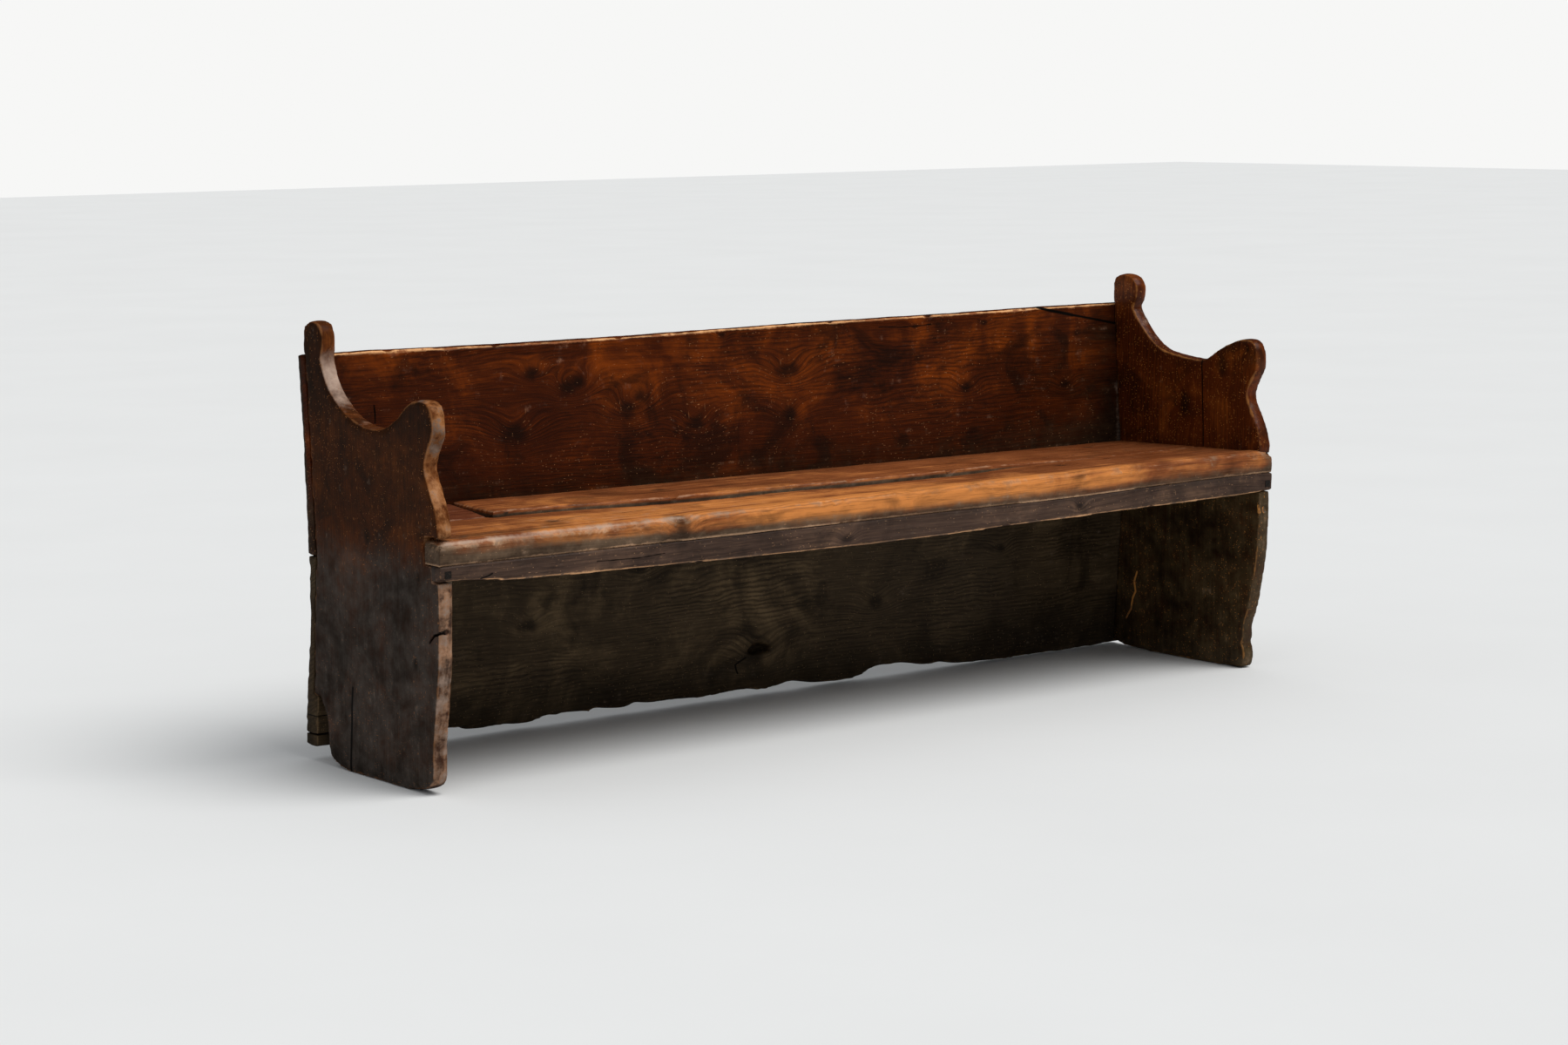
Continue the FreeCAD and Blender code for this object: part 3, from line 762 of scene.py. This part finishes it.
RIGHT_END = [(120, 0, 0), (341, 0, 0), (409, 2), (443, 9, 0), (462, 10, 0), (447, 242), (435, 385, 0), (439, 460),
             (448, 610), (456, 745), (460, 766), (460, 798), (453, 813), (438, 821), (422, 822.5), (404, 819),
             (391, 808), (384.5, 796), (383.5, 784), (387, 768), (398, 751, 0), (387, 735), (372, 717), (353, 698),
             (332, 681), (312, 669), (290, 662), (266, 658), (232, 653), (198, 650.5), (181, 651, 0), (168, 655),
             (154, 664), (125, 680), (95, 692), (72, 698.5)] + SHARED_ARM + NOTCHES + [
             (6, 342), (9, 297), (14, 245), (25, 185), (39, 126), (50, 97), (53, 64), (58, 53), (52, 44), (50, 30),
             (52, 11), (60, 2)]


def millimetres(points):
    """Points given in millimetres, in metres; a mark for a sharp corner stays."""
    return [(p[0] * MM, p[1] * MM) + tuple(p[2:]) for p in points]


print("The left end is drawn through", len(LEFT_END), "points and the right end through", len(RIGHT_END))

# %% The finish of the ends
left_wood = old_wood("left_panel_wood", paint(56, 26, 11), paint(90, 46, 19), paint(140, 76, 28),
                     paint(170, 116, 72), paint(24, 17, 11), paint(80, 72, 66), gloss=0.33, figure=0.4,
                     ring=0.009, glint_and_speck_share=0.8, smoky=0.6, streaks=0.3, shine=0.06, fibrous=0.25,
                     stain=paint(96, 84, 76))
right_wood = old_wood("right_panel_wood", paint(60, 24, 8), paint(100, 43, 12), paint(150, 80, 26),
                      paint(206, 140, 72), paint(22, 13, 7), paint(94, 76, 50), gloss=0.3, figure=0.5,
                      ring=0.009, glint_and_speck_share=1.0, smoky=0.6, streaks=0.6, shine=0.2, fibrous=0.35,
                      stain=paint(84, 62, 50))

# %% Saw and weather the ends


def end_panel(name, profile, plane, seed, knots, cracks, chips, scars, inner_low, edge_wear_and_sheen, wood):
    """inner_low says that the plank's t = 0 face looks into the bench; the edge wear argument says how bare its edges
    are and how much painted sheen they carry.
    """
    plank = Plank(name, curve_through(millimetres(profile)), PANEL, 0.0042, soften=5)
    for path, width, depth in cracks:
        crack(plank, path, width, depth)
    for path in scars:
        plank.refine(np.array(path) * MM, 0.006, cuts=2)
    chip(plank, chips)
    wear_shape(plank, seed, cup=0.0007, rub=0.0022)
    grow_grain(plank, 1, seed, knots)
    store_cracks(plank)
    station, height = plank.at[:, 0], plank.at[:, 1]
    outer = plank.at[:, 2] > PANEL * 0.5 if inner_low else plank.at[:, 2] < PANEL * 0.5
    below = step(height, 0.50, 0.36)
    facing_out = outer * (1 - step(plank.rim, 0.004, 0.001))
    plank.stored["grime_and_shade"] = below * (0.62 + 0.2 * facing_out + 0.25 * inner_low) + step(height, 0.06, 0) * 0.25
    plank.stored["smoke_and_shade"] = np.maximum(plank.stored["smoke_and_shade"], facing_out * (
        0.68 - 0.6 * below + 0.15 * step(height, 0.60, 0.68)))
    plank.stored["peppered"] = ~outer * ((0.07 + 0.11 * step(station, 0.12, 0.24)) * (1 - below) + 0.05 * below)
    # Painted light: the arm and the finial top are lifted towards the light wood colour on all but the outer face;
    # below the seat the wood is made a little darker
    painted_lit_patches = patches(plank, [(60, 640, 90, 70, 0.3), (420, 790, 60, 45, 0.4)])
    plank.stored["tone_light_and_shade"] = painted_lit_patches * (1 - facing_out) - below * 0.1
    edge = step(plank.rim, 0.006, 0.001)
    front_edge = edge * step(station, 0.12, 0.03)
    sweep = edge * patches(plank, [(390, 728, 26, 42, 0.9), (352, 684, 40, 26, 0.6), (250, 645, 80, 20, 0.2)])
    plank.stored["rubbed"] = (front_edge * (0.5 - 0.1 * below) + sweep * 0.3) * edge_wear_and_sheen
    for path in scars:
        scar = 1 - step(away_from(plank.at[:, :2], np.array(path) * MM), 0.0012, 0.0035)
        plank.stored["rubbed"] = np.maximum(plank.stored["rubbed"], scar * ~outer * 1.1)
    # Painted sheen on the sloped part of the sweep, and a greyish haze along the front edge
    plank.stored["sheen_and_haze"] = (sweep * 0.8 + front_edge * (1 - below) * 0.14 + front_edge * below * 0.3) * edge_wear_and_sheen
    in_notch = (station < 0.075) * step(height, 0.370, 0.384) * step(height, 0.480, 0.464)
    plank.arris = plank.arris + in_notch * 0.02
    lay(plank, in_end(plane), wood, name)


end_panel(
    "left_end_panel", LEFT_END, -LENGTH / 2, 1,
    knots=[(247, 446, 14), (89, 232, 9), (74, 385, 7)],
    cracks=[([(311, 158), (316, 120), (318, 80), (322, 40), (325, 2)], 2.6, 9),
            ([(2, 300), (16, 292), (24, 290), (40, 276)], 2.2, 7)],
    chips=[(437, 120, 0, 12, 4), (10, 296, 16, 9, 4)], scars=[], inner_low=False, edge_wear_and_sheen=1.0,
    wood=left_wood)
end_panel(
    "right_end_panel", RIGHT_END, LENGTH / 2 - PANEL, 2,
    knots=[(233, 555, 21), (120, 640, 18), (47, 681, 8)],
    cracks=[([(183, 650), (180, 618), (179, 570), (177, 520), (176, 466)], 1.5, 6)],
    chips=[(7, 345, 16, 10, 4), (47, 681, 0, 6, 2), (97, 623, 0, 6, 1.5)],
    scars=[[(379, 171), (387, 150), (383, 128), (392, 112), (397, 88), (412, 66)], [(12, 352), (10, 338)]],
    inner_low=True, edge_wear_and_sheen=0.22, wood=right_wood)

# %% [markdown]
# ## The upper back
#
# This plank is the bench's face: a wide board with smoky knots, wavy dark figure near its top edge, and amber patches
# that are partly the wood's own lighter tone and partly painted light. Its top arris is rubbed to gold. A long drying
# crack runs in from the right end. The knots are placed where the photograph shows them, because the eye uses them as
# landmarks.

# %% The upper back board
back_wood = old_wood("back_wood", paint(48, 17, 5), paint(77, 31, 8), paint(134, 60, 9), paint(228, 170, 116),
                     paint(19, 10, 6), paint(62, 44, 29), gloss=0.32, figure=0.65, ring=0.0082, glint_and_speck_share=0.45,
                     patina=0.6, smoky=0.65, streaks=0.6, shine=0.09, stain=paint(120, 56, 22))


def shift(points):
    """From places measured from the middle of the bench to places measured from its left end."""
    return [(p[0] + 1024,) + tuple(p[1:]) for p in points]


def upper_back():
    top = [(2048, 758, 0), (1800, 759), (1500, 757.5), (1150, 757), (900, 755), (620, 753.5), (330, 754.5),
           (120, 757), (0, 757, 0)]
    outline = curve_through(millimetres([(0, 385.5, 0), (2048, 385.5, 0)] + top), 0.02)
    plank = Plank("upper_back_board", outline, UPPER_THICK, 0.005, soften=3)
    crack(plank, shift([(770, 759), (800, 751), (870, 737)]), 3.0, 14)
    crack(plank, shift([(860, 739), (943, 723), (989, 714), (1010, 712)]), 2.2, 9)
    crack(plank, shift([(330, 738), (420, 735), (470, 737)]), 1.0, 4)
    crack(plank, shift([(-882, 655), (-881, 640), (-882, 622)]), 1.2, 3)
    chip(plank, [(x, 757, 0, r, d) for x, r, d in ((180, 12, 3), (415, 9, 3), (700, 14, 3), (1230, 10, 3),
                                                  (1490, 12, 4), (1760, 9, 3), (2040, 12, 5))])
    wear_shape(plank, 3, cup=0.0009, rub=0.0024, spared=step(plank.at[:, 1], 0.41, 0.39) * 0.9)
    knots = shift([(-578, 585, 26), (-449, 662, 20), (-531, 692, 15), (-426, 669, 17), (-312, 611, 22),
                   (-280, 634, 18), (87, 575, 17), (-146, 570, 20), (-75, 743, 8), (426, 735, 7), (618, 734, 7),
                   (89, 664, 22), (560, 600, 15), (840, 590, 12)])
    grow_grain(plank, 0, 3, knots, slope=0.5)
    store_cracks(plank)
    height, front = plank.at[:, 1], plank.at[:, 2] < UPPER_THICK / 2
    x = plank.at[:, 0] - LENGTH / 2
    # Amber patches on the front face: partly the wood's own lighter tone, partly painted light. The board is made
    # darker towards the bottom, towards both ends, at the upper right and on its back face
    amber = [(-314, 690, 150, 45, 0.5), (-880, 725, 120, 30, 0.5), (-620, 712, 150, 30, 0.45), (300, 712, 90, 38, 0.55),
             (392, 722, 60, 26, 0.6), (430, 625, 120, 60, 0.38), (140, 610, 120, 60, 0.38), (748, 700, 16, 50, 0.9),
             (-16, 650, 80, 40, 0.25), (620, 690, 110, 30, 0.4), (-640, 600, 120, 40, 0.2)]
    plank.stored["tone_light_and_shade"] = patches(plank, shift(amber)) * front * 0.62 - step(height, 0.60, 0.48) * 0.25
    plank.stored["grime_and_shade"] = (step(height, 0.56, 0.45) * 0.52 + step(np.abs(x), 0.80, 1.02) * 0.32 + (~front) * 0.7
                            + step(x, 0.55, 0.85) * 0.22 * step(height, 0.74, 0.68))
    plank.stored["rubbed"] = step(plank.arris, 0.009, 0.001) * step(height, 0.70, 0.74) * (x > -0.99) * 0.78
    plank.stored["sheen_and_haze"] = front * step(x, 0.982, 0.992) * step(height, 0.70, 0.48) * 0.32
    left_low = step(x, -0.60, -0.95) * step(height, 0.62, 0.50)
    plank.stored["peppered"] = front * (step(height, 0.66, 0.50) * 0.03 + left_low * 0.05)
    plank.arris = plank.arris + (step(height, 0.752, 0.744) + (x < -0.99)) * 0.02
    lay(plank, in_upper_back, back_wood, "upper_back_board")


upper_back()

# %% [markdown]
# ## The lower back
#
# Nobody polished this plank. It's olive-black with dust and soot, its lower edge is eaten ragged by wet floors,
# and a knot has dropped out and left a half-moon hole. Its front face is let in over the rear edges of both ends,
# so the ends of its skin are pushed back there by the depth of the housing.

# %% The lower back board
dark_wood = old_wood("dark_wood", paint(48, 38, 27), paint(74, 60, 43), paint(112, 92, 66), paint(140, 112, 80),
                     paint(22, 16, 11), paint(60, 52, 40), gloss=0.5, figure=0.8, ring=0.0085, glint_and_speck_share=0.6,
                     patina=0.5, smoky=0.6, streaks=0.4, shine=0.06)
FOOT_LINE = [(0, 26, 0), (295, 25), (329, 18), (368, 15), (411, 17), (474, 12), (488, 16), (508, 24), (545, 24),
             (610, 20), (624, 24), (665, 19), (703, 16), (724, 23), (763, 18), (808, 18), (862, 14.5), (905, 14),
             (1003, 18), (1025, 15), (1081, 16), (1118, 21), (1175, 11.5), (1213, 9), (1270, 9), (1301, 15),
             (1328, 25), (1378, 28.5), (1425, 25), (1477, 15.5), (1520, 16), (1568, 8), (1640, 5), (1704, 4),
             (1850, 4), (2048, 4, 0)]
HOUSING = 16.5 * MM


def lower_back():
    outline = curve_through(millimetres(FOOT_LINE + [(2048, 386, 0), (0, 386, 0)]), 0.01)
    hole = curve_through(millimetres(shift([(-33, 92, 0), (37, 95, 0), (28, 103), (12, 109), (-6, 112), (-22, 106)])))
    plank = Plank("lower_back_board", outline, LOWER_THICK, 0.005, soften=4, hole=hole, hole_depth=26 * MM)
    crack(plank, shift([(-33, 86), (-50, 79), (-59, 74), (-56, 64), (-52, 56)]), 1.6, 6)
    crack(plank, [(-2, 86), (22, 87), (40, 85)], 1.1, 5, side="both")
    crack(plank, [(-2, 51), (30, 52)], 1.6, 8, side="both")
    wear_shape(plank, 5, cup=0.0012, rub=0.0045, reach=0.02, spared=step(plank.at[:, 1], 0.36, 0.38) * 0.95)
    grow_grain(plank, 0, 5, shift([(-3, 96, 26), (-560, 210, 16), (300, 170, 18), (640, 250, 12), (-300, 300, 14)]),
               slope=0.5)
    store_cracks(plank)
    x, height = plank.at[:, 0] - LENGTH / 2, plank.at[:, 1]
    front = plank.at[:, 2] < LOWER_THICK / 2
    housed = (np.abs(x) > LENGTH / 2 - PANEL) & ((height > 0.126) | (x > 0))
    plank.at[:, 2] = np.where(housed, np.maximum(plank.at[:, 2], HOUSING), plank.at[:, 2])
    plank.stored["tone_light_and_shade"] = patches(plank, shift([(-498, 235, 260, 90, 0.35), (-80, 210, 200, 90, 0.3)])) * front
    # Painted shade: the top of the board, under the seat, is made darker; it is darker too near the floor, on the back
    # face and towards the right
    plank.stored["grime_and_shade"] = (step(height, 0.17, 0.04) * 0.5 + step(height, 0.26, 0.38) * 0.35 + (~front) * 0.15
                            + step(x, 0.1, 0.9) * 0.15)
    plank.stored["smoke_and_shade"] = np.maximum(plank.stored["smoke_and_shade"], step(height, 0.14, 0.03) * 0.42)
    plank.stored["peppered"] = front * 0.09
    lay(plank, in_lower_back, dark_wood, "lower_back_board")


lower_back()

# %% [markdown]
# ## The seat
#
# Two long planks and a short one make the seat. Their joint was straight once. The planks shrank and somebody planed to
# the crack, so the gap now wanders and opens to a finger's width in the middle. The front plank's nosing is the most
# rubbed part of the bench: orange wood gone pale pink along its arris, with a painted pink-white highlight on its crest
# and a painted orange-gold highlight along its roll.

# %% Their wood, their joint and its gap, in millimetres
seat_wood = old_wood("seat_wood", paint(98, 49, 24), paint(152, 88, 50), paint(204, 128, 66), paint(224, 178, 140),
                     paint(42, 29, 20), paint(116, 94, 74), gloss=0.38, figure=0.5, ring=0.009, glint_and_speck_share=0.35,
                     patina=0.25, smoky=0.3, shine=0.1)
patch_wood = old_wood("patch_wood", paint(78, 38, 24), paint(106, 56, 34), paint(138, 80, 50), paint(200, 150, 116),
                      paint(38, 22, 15), paint(96, 78, 64), gloss=0.38, figure=0.4, ring=0.007, glint_and_speck_share=0.35,
                      patina=0.25, smoky=0.3)
JOINT = [(258, 233), (294, 235), (360, 229), (502, 207), (614, 191), (760, 187), (896, 185), (970, 177), (1041, 168),
         (1218, 166), (1297, 163), (1390, 171), (1461, 179), (1550, 183), (1609, 185), (1800, 188), (2015.5, 190)]
GAP = [(258, 1.2), (500, 2.0), (640, 6.5), (890, 8.5), (1300, 9.0), (1460, 6.0), (1550, 2.0), (1610, 0.8), (2016, 0.8)]
NOSING = 16 * MM
SKIN = 6 * MM


def gap_at(x):
    """How far the joint has opened, in millimetres."""
    return float(np.interp(x, *zip(*GAP)))


print("The joint is", gap_at(1100), "mm open in the middle")

# %% The front plank


def seat_front():
    joint = [(x, station - gap_at(x)) for x, station in reversed(JOINT)]
    joint = [joint[0] + (0,)] + joint[1:-1] + [(259, 232, 0)]
    front = [(0, 0, 0), (300, 0.6), (700, -0.4), (1100, 0.5), (1500, -0.3), (1800, 0.4), (2048, 0, 0)]
    corners = front + [(2048, 54.6, 0), (2015.5, 54.6, 0)] + joint + [
        (257, 247.4, 0), (32.6, 247.4, 0), (32.6, 54.6, 0), (0, 54.6, 0)]
    plank = Plank("seat_front_board", curve_through(millimetres(corners), 0.01), SEAT_THICK, 0.0043, soften=4)
    crack(plank, [(330, 120), (470, 117), (640, 121)], 1.0, 3, side="high")
    crack(plank, [(1700, 150), (1850, 146), (2014, 149)], 1.0, 3, side="high")
    chip(plank, [(430, 0, 44, 13, 5), (880, 0, 46, 12, 4), (905, 0, 44, 10, 5), (1230, 0, 46, 16, 3),
                 (1640, 0, 45, 12, 3), (4, 2, 45, 16, 6), (2044, 2, 45, 18, 8), (1990, 0, 44, 14, 4)])
    roll = plank.at[:, 1:] - (NOSING, SEAT_THICK - NOSING)
    out = np.linalg.norm(roll, axis=1)
    on_nose = (roll[:, 0] < 0) & (roll[:, 1] > 0) & (out > NOSING)
    plank.at[:, 1:] -= np.where(on_nose, 1 - NOSING / out, 0)[:, None] * roll
    wear_shape(plank, 7, cup=0.0011, rub=0.0026, reach=0.014, spared=step(plank.at[:, 2], 0.012, 0.004) * 0.8)
    grow_grain(plank, 0, 7, [(300, 100, 12), (520, 6, 13), (1180, 60, 9), (1560, 120, 12)], slope=0.45)
    # Painted shade: dark patches at both ends of the front board, where the end panels shade the seat
    painted_end_shade = patches(plank, [(80, 45, 100, 34, 0.65), (215, 40, 60, 22, 0.5), (2000, 60, 260, 260, 0.36)])
    plank.stored["smoke_and_shade"] = np.maximum(plank.stored["smoke_and_shade"], painted_end_shade)
    store_cracks(plank)
    x, station, level = plank.at.T
    top = level > SEAT_THICK - SKIN
    face = (station < 0.01) & (level < SEAT_THICK - 0.010)
    ends = step(np.abs(x - LENGTH / 2), 0.98, 1.02)
    nosing = step(station, 0.03, 0.006) * step(level, 0.024, 0.036)
    left_third = step(x, 0.95, 0.25)
    plank.stored["rubbed"] = nosing * (0.24 + 0.13 * left_third) + face * step(level, 0.008, 0.001) * 0.5
    # Painted highlight: a pale pinkish grey along the crest of the nosing in its left third, and a pale haze in a patch
    # on the top towards the left
    crest = step(np.hypot(station - 0.006, level - 0.044), 0.009, 0.002)
    plank.stored["sheen_and_haze"] = crest * left_third * 0.5 + top * patches(plank, [(420, 90, 330, 80, 0.2)])
    # Painted highlight: the nosing's roll is lifted towards orange gold in the middle of the seat. Painted shade makes
    # the right end behind the nosing darker; the left end and the lowest part of the face are made darker too
    painted_nose_highlight = (station < 0.03) * step(level, 0.006, 0.024) * patches(plank, [(1060, 0, 620, 90, 0.95)])
    plank.stored["tone_light_and_shade"] = (patches(plank, [(1000, 50, 420, 70, 0.5), (420, 90, 330, 80, 0.8)]) + painted_nose_highlight
                            - step(x, 0.20, 0.05) * 0.3 - step(x, 1.25, 1.8) * step(station, 0.03, 0.10) * 0.5
                            - step(level, 0.010, 0.002) * 0.9)
    joint_edge = (plank.rim < 0.006) & (station > 0.06)
    plank.arris = plank.arris + joint_edge * 0.02
    # Darker along the lower part of the nosing face, on the face in the left third, under the board, at both ends and
    # in a patch at the left end; the faces of the long joint get painted shade and grime
    low_face = (station < 0.014) * step(level, 0.029, 0.003)
    plank.stored["grime_and_shade"] = (low_face * 0.8 + left_third * (station < 0.014) * step(level, 0.045, 0.034) * 0.5
                            + (~top & (station > 0.014)) * 0.95 + ends * 0.5 + joint_edge * 0.7
                            + patches(plank, [(70, 50, 110, 50, 0.3)]))
    lay(plank, curled(-0.0030, 0.06), seat_wood, "seat_front_board")


seat_front()

# %% The rear plank


def seat_rear():
    edge = [(JOINT[0][0] + 1,) + JOINT[0][1:] + (0,)] + JOINT[1:-1] + [JOINT[-1] + (0,)]
    outline = curve_through(millimetres(edge + [(2015.5, 435.6, 0), (298.5, 435.6, 0)]), 0.01)
    plank = Plank("seat_rear_board", outline, SEAT_THICK, 0.005, soften=3)
    crack(plank, [(420, 300), (620, 296), (900, 301)], 1.0, 3, side="high")
    crack(plank, [(1380, 250), (1560, 246), (1800, 251), (2014, 247)], 1.2, 4, side="high")
    chip(plank, [(640, 190, 46, 14, 5), (1050, 168, 46, 12, 4), (1300, 163, 46, 15, 5)])
    wear_shape(plank, 8, cup=0.0010, rub=0.0022, reach=0.012)
    grow_grain(plank, 0, 8, [(700, 330, 13), (1420, 300, 11), (1850, 360, 14)], slope=0.5)
    store_cracks(plank)
    top = plank.at[:, 2] > SEAT_THICK - SKIN
    # Painted shade towards the right end and in the right rear corner; the top is darker towards the back edge, and the
    # underside is darker
    plank.stored["tone_light_and_shade"] = top * 0.05 - step(plank.at[:, 1], 0.36, 0.43) * 0.3 - step(plank.at[:, 0], 1.2, 1.9) * 0.6
    plank.stored["smoke_and_shade"] = np.maximum(plank.stored["smoke_and_shade"], patches(plank, [(1900, 300, 300, 200, 0.34)]))
    plank.stored["grime_and_shade"] = (~top) * 1.1 + top * step(plank.at[:, 1], 0.38, 0.436) * 0.3
    lay(plank, curled(0.0090, 0.10), seat_wood, "seat_rear_board")


seat_rear()

# %% The short board in the corner


def seat_patch():
    corners = [(32.6, 248.6, 0), (256, 248.6, 0), (295.5, 435.6, 0), (32.6, 435.6, 0)]
    plank = Plank("seat_corner_patch", curve_through(millimetres(corners), 0.01), SEAT_THICK, 0.0045, soften=3)
    wear_shape(plank, 9, cup=0.0008, rub=0.002, reach=0.012)
    grow_grain(plank, 0, 9, [(150, 340, 12)], slope=0.5)
    store_cracks(plank)
    top = plank.at[:, 2] > SEAT_THICK - SKIN
    plank.stored["grime_and_shade"] = (~top) * 0.65 + top * 0.1
    lay(plank, curled(-0.0030, 0.3), patch_wood, "seat_corner_patch")


seat_patch()

# %% [markdown]
# ## The rail
#
# The rail stiffens the nosing. Heels have brushed its lower arris to a pale line, and the rest is grey-brown.

# %% The rail
rail_wood = old_wood("rail_wood", paint(56, 42, 35), paint(86, 66, 55), paint(122, 92, 70), paint(200, 152, 110),
                     paint(26, 20, 18), paint(78, 68, 62), gloss=0.44, figure=0.35, glint_and_speck_share=0.6, patina=0.6)


def rail():
    low = [(0, 386, 0), (61, 384.5), (121, 380), (207, 375), (892, 366), (1400, 372), (1892, 379), (2035, 383),
           (2048, 383, 0)]
    outline = curve_through(millimetres(low + [(2048, 414, 0), (0, 414, 0)]), 0.01)
    plank = Plank("front_rail", outline, 32 * MM, 0.0042, soften=4)
    crack(plank, [(85, 386), (98, 389), (107, 393)], 1.4, 4)
    crack(plank, [(330, 393), (420, 391), (480, 394)], 0.7, 2)
    chip(plank, [(560, 371, 0, 9, 3), (1310, 371, 0, 12, 3), (1700, 377, 0, 9, 3), (4, 386, 2, 10, 4)])
    wear_shape(plank, 11, cup=0.0007, rub=0.002, reach=0.010, spared=step(plank.at[:, 1], 0.395, 0.405))
    grow_grain(plank, 0, 11, [(906, 383, 10), (1500, 395, 8)], slope=0.5)
    store_cracks(plank)
    height = plank.at[:, 1]
    plank.stored["rubbed"] = step(plank.arris, 0.006, 0.001) * step(height, 0.390, 0.382) * 0.9
    plank.arris = plank.arris + step(height, 0.398, 0.406) * 0.02
    plank.stored["grime_and_shade"] = 0.12 + step(height, 0.400, 0.411) * 0.35 + (plank.at[:, 2] > 0.015) * 0.4
    plank.stored["smoke_and_shade"] = np.maximum(plank.stored["smoke_and_shade"], step(plank.at[:, 0], 1.2, 1.8) * 0.4)
    plank.stored["peppered"] = np.full(len(height), 0.05)
    lay(plank, in_rail, rail_wood, "front_rail")


rail()

# %% [markdown]
# ## Battens and nails
#
# Nothing shows of the cleats and battens under the seat unless you lie on the floor, so the CAD solids serve,
# with the grey sawn look of wood that no one ever touched. The nails are CAD solids too, moved by a hair: those
# of the seat were punched below the surface and stopped with wax, and those of the back and rail stand proud.

# %% Finishes for battens and iron


def raw_wood():
    """Sawn wood that was never planed or polished."""
    finish = Finish("raw_wood")
    here = finish.here()
    strands = finish.cloud(finish.stretched(here, (6, 40, 160)), 1, 5, 0.65)
    saw_marks = finish.cloud(finish.stretched(here, (260, 8, 8)), 1, 3, 0.6)
    blotch = finish.cloud(here, 9, 4, 0.6)
    colour = finish.blend(paint(70, 55, 40), paint(126, 102, 76), (strands * 0.8 + blotch * 0.4).between(0.35, 0.8))
    colour = finish.blend(colour, paint(40, 31, 23), saw_marks.between(0.55, 0.75) * 0.45)
    return finish.done(colour, 0.75 + (strands - 0.5) * 0.2, strands + saw_marks * 0.6, 0.0012)


def forged_iron():
    """Hammered iron, rusty in places."""
    finish = Finish("forged_iron")
    here = finish.here()
    hammered = finish.cloud(here, 190, 3, 0.5)
    rust = finish.cloud(here, 70, 5, 0.65).between(0.5, 0.68)
    colour = finish.blend(paint(44, 40, 37), paint(92, 54, 32), rust)
    finish.feed(finish.shader.inputs["Metallic"], 1 - rust)
    return finish.done(colour, 0.48 + rust * 0.35, hammered, 0.002)


raw = raw_wood()
iron = forged_iron()
print("Mixed", raw.name, "and", iron.name)

# %% Dress the CAD pieces that stay


def dress(node, material):
    """Keeps the CAD solid and gives it a finish."""
    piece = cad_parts[node]
    piece.data.materials.clear()
    piece.data.materials.append(material)


for batten in ("left_seat_bearer", "right_seat_bearer", "rear_ledger", "seat_cross_bearer"):
    dress(batten, raw)
    print(batten, "is the CAD solid")

# %% Drive the nails


def drive(node, offset):
    """A copy of a nail group, driven by that much from where the CAD has it."""
    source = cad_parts[node]
    mesh = source.data.copy()
    mesh.transform(Matrix.Translation(offset) @ source.matrix_world)
    mesh.materials.clear()
    mesh.materials.append(iron)
    piece = bpy.data.objects.new(node + "_driven", mesh)
    bpy.context.scene.collection.objects.link(piece)
    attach(piece, "root")
    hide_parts(node)
    print(piece.name, "moved by", offset)


for group in ("seat_front_nails", "seat_rear_nails", "patch_nails"):
    drive(group, (0, 0, -0.010))
for group in ("upper_back_nails", "lower_back_nails", "ledger_nails"):
    drive(group, (0, 0.0022, 0))
drive("rail_nails", (0, -0.0008, 0))
drive("bearer_nails", (0, 0, 0))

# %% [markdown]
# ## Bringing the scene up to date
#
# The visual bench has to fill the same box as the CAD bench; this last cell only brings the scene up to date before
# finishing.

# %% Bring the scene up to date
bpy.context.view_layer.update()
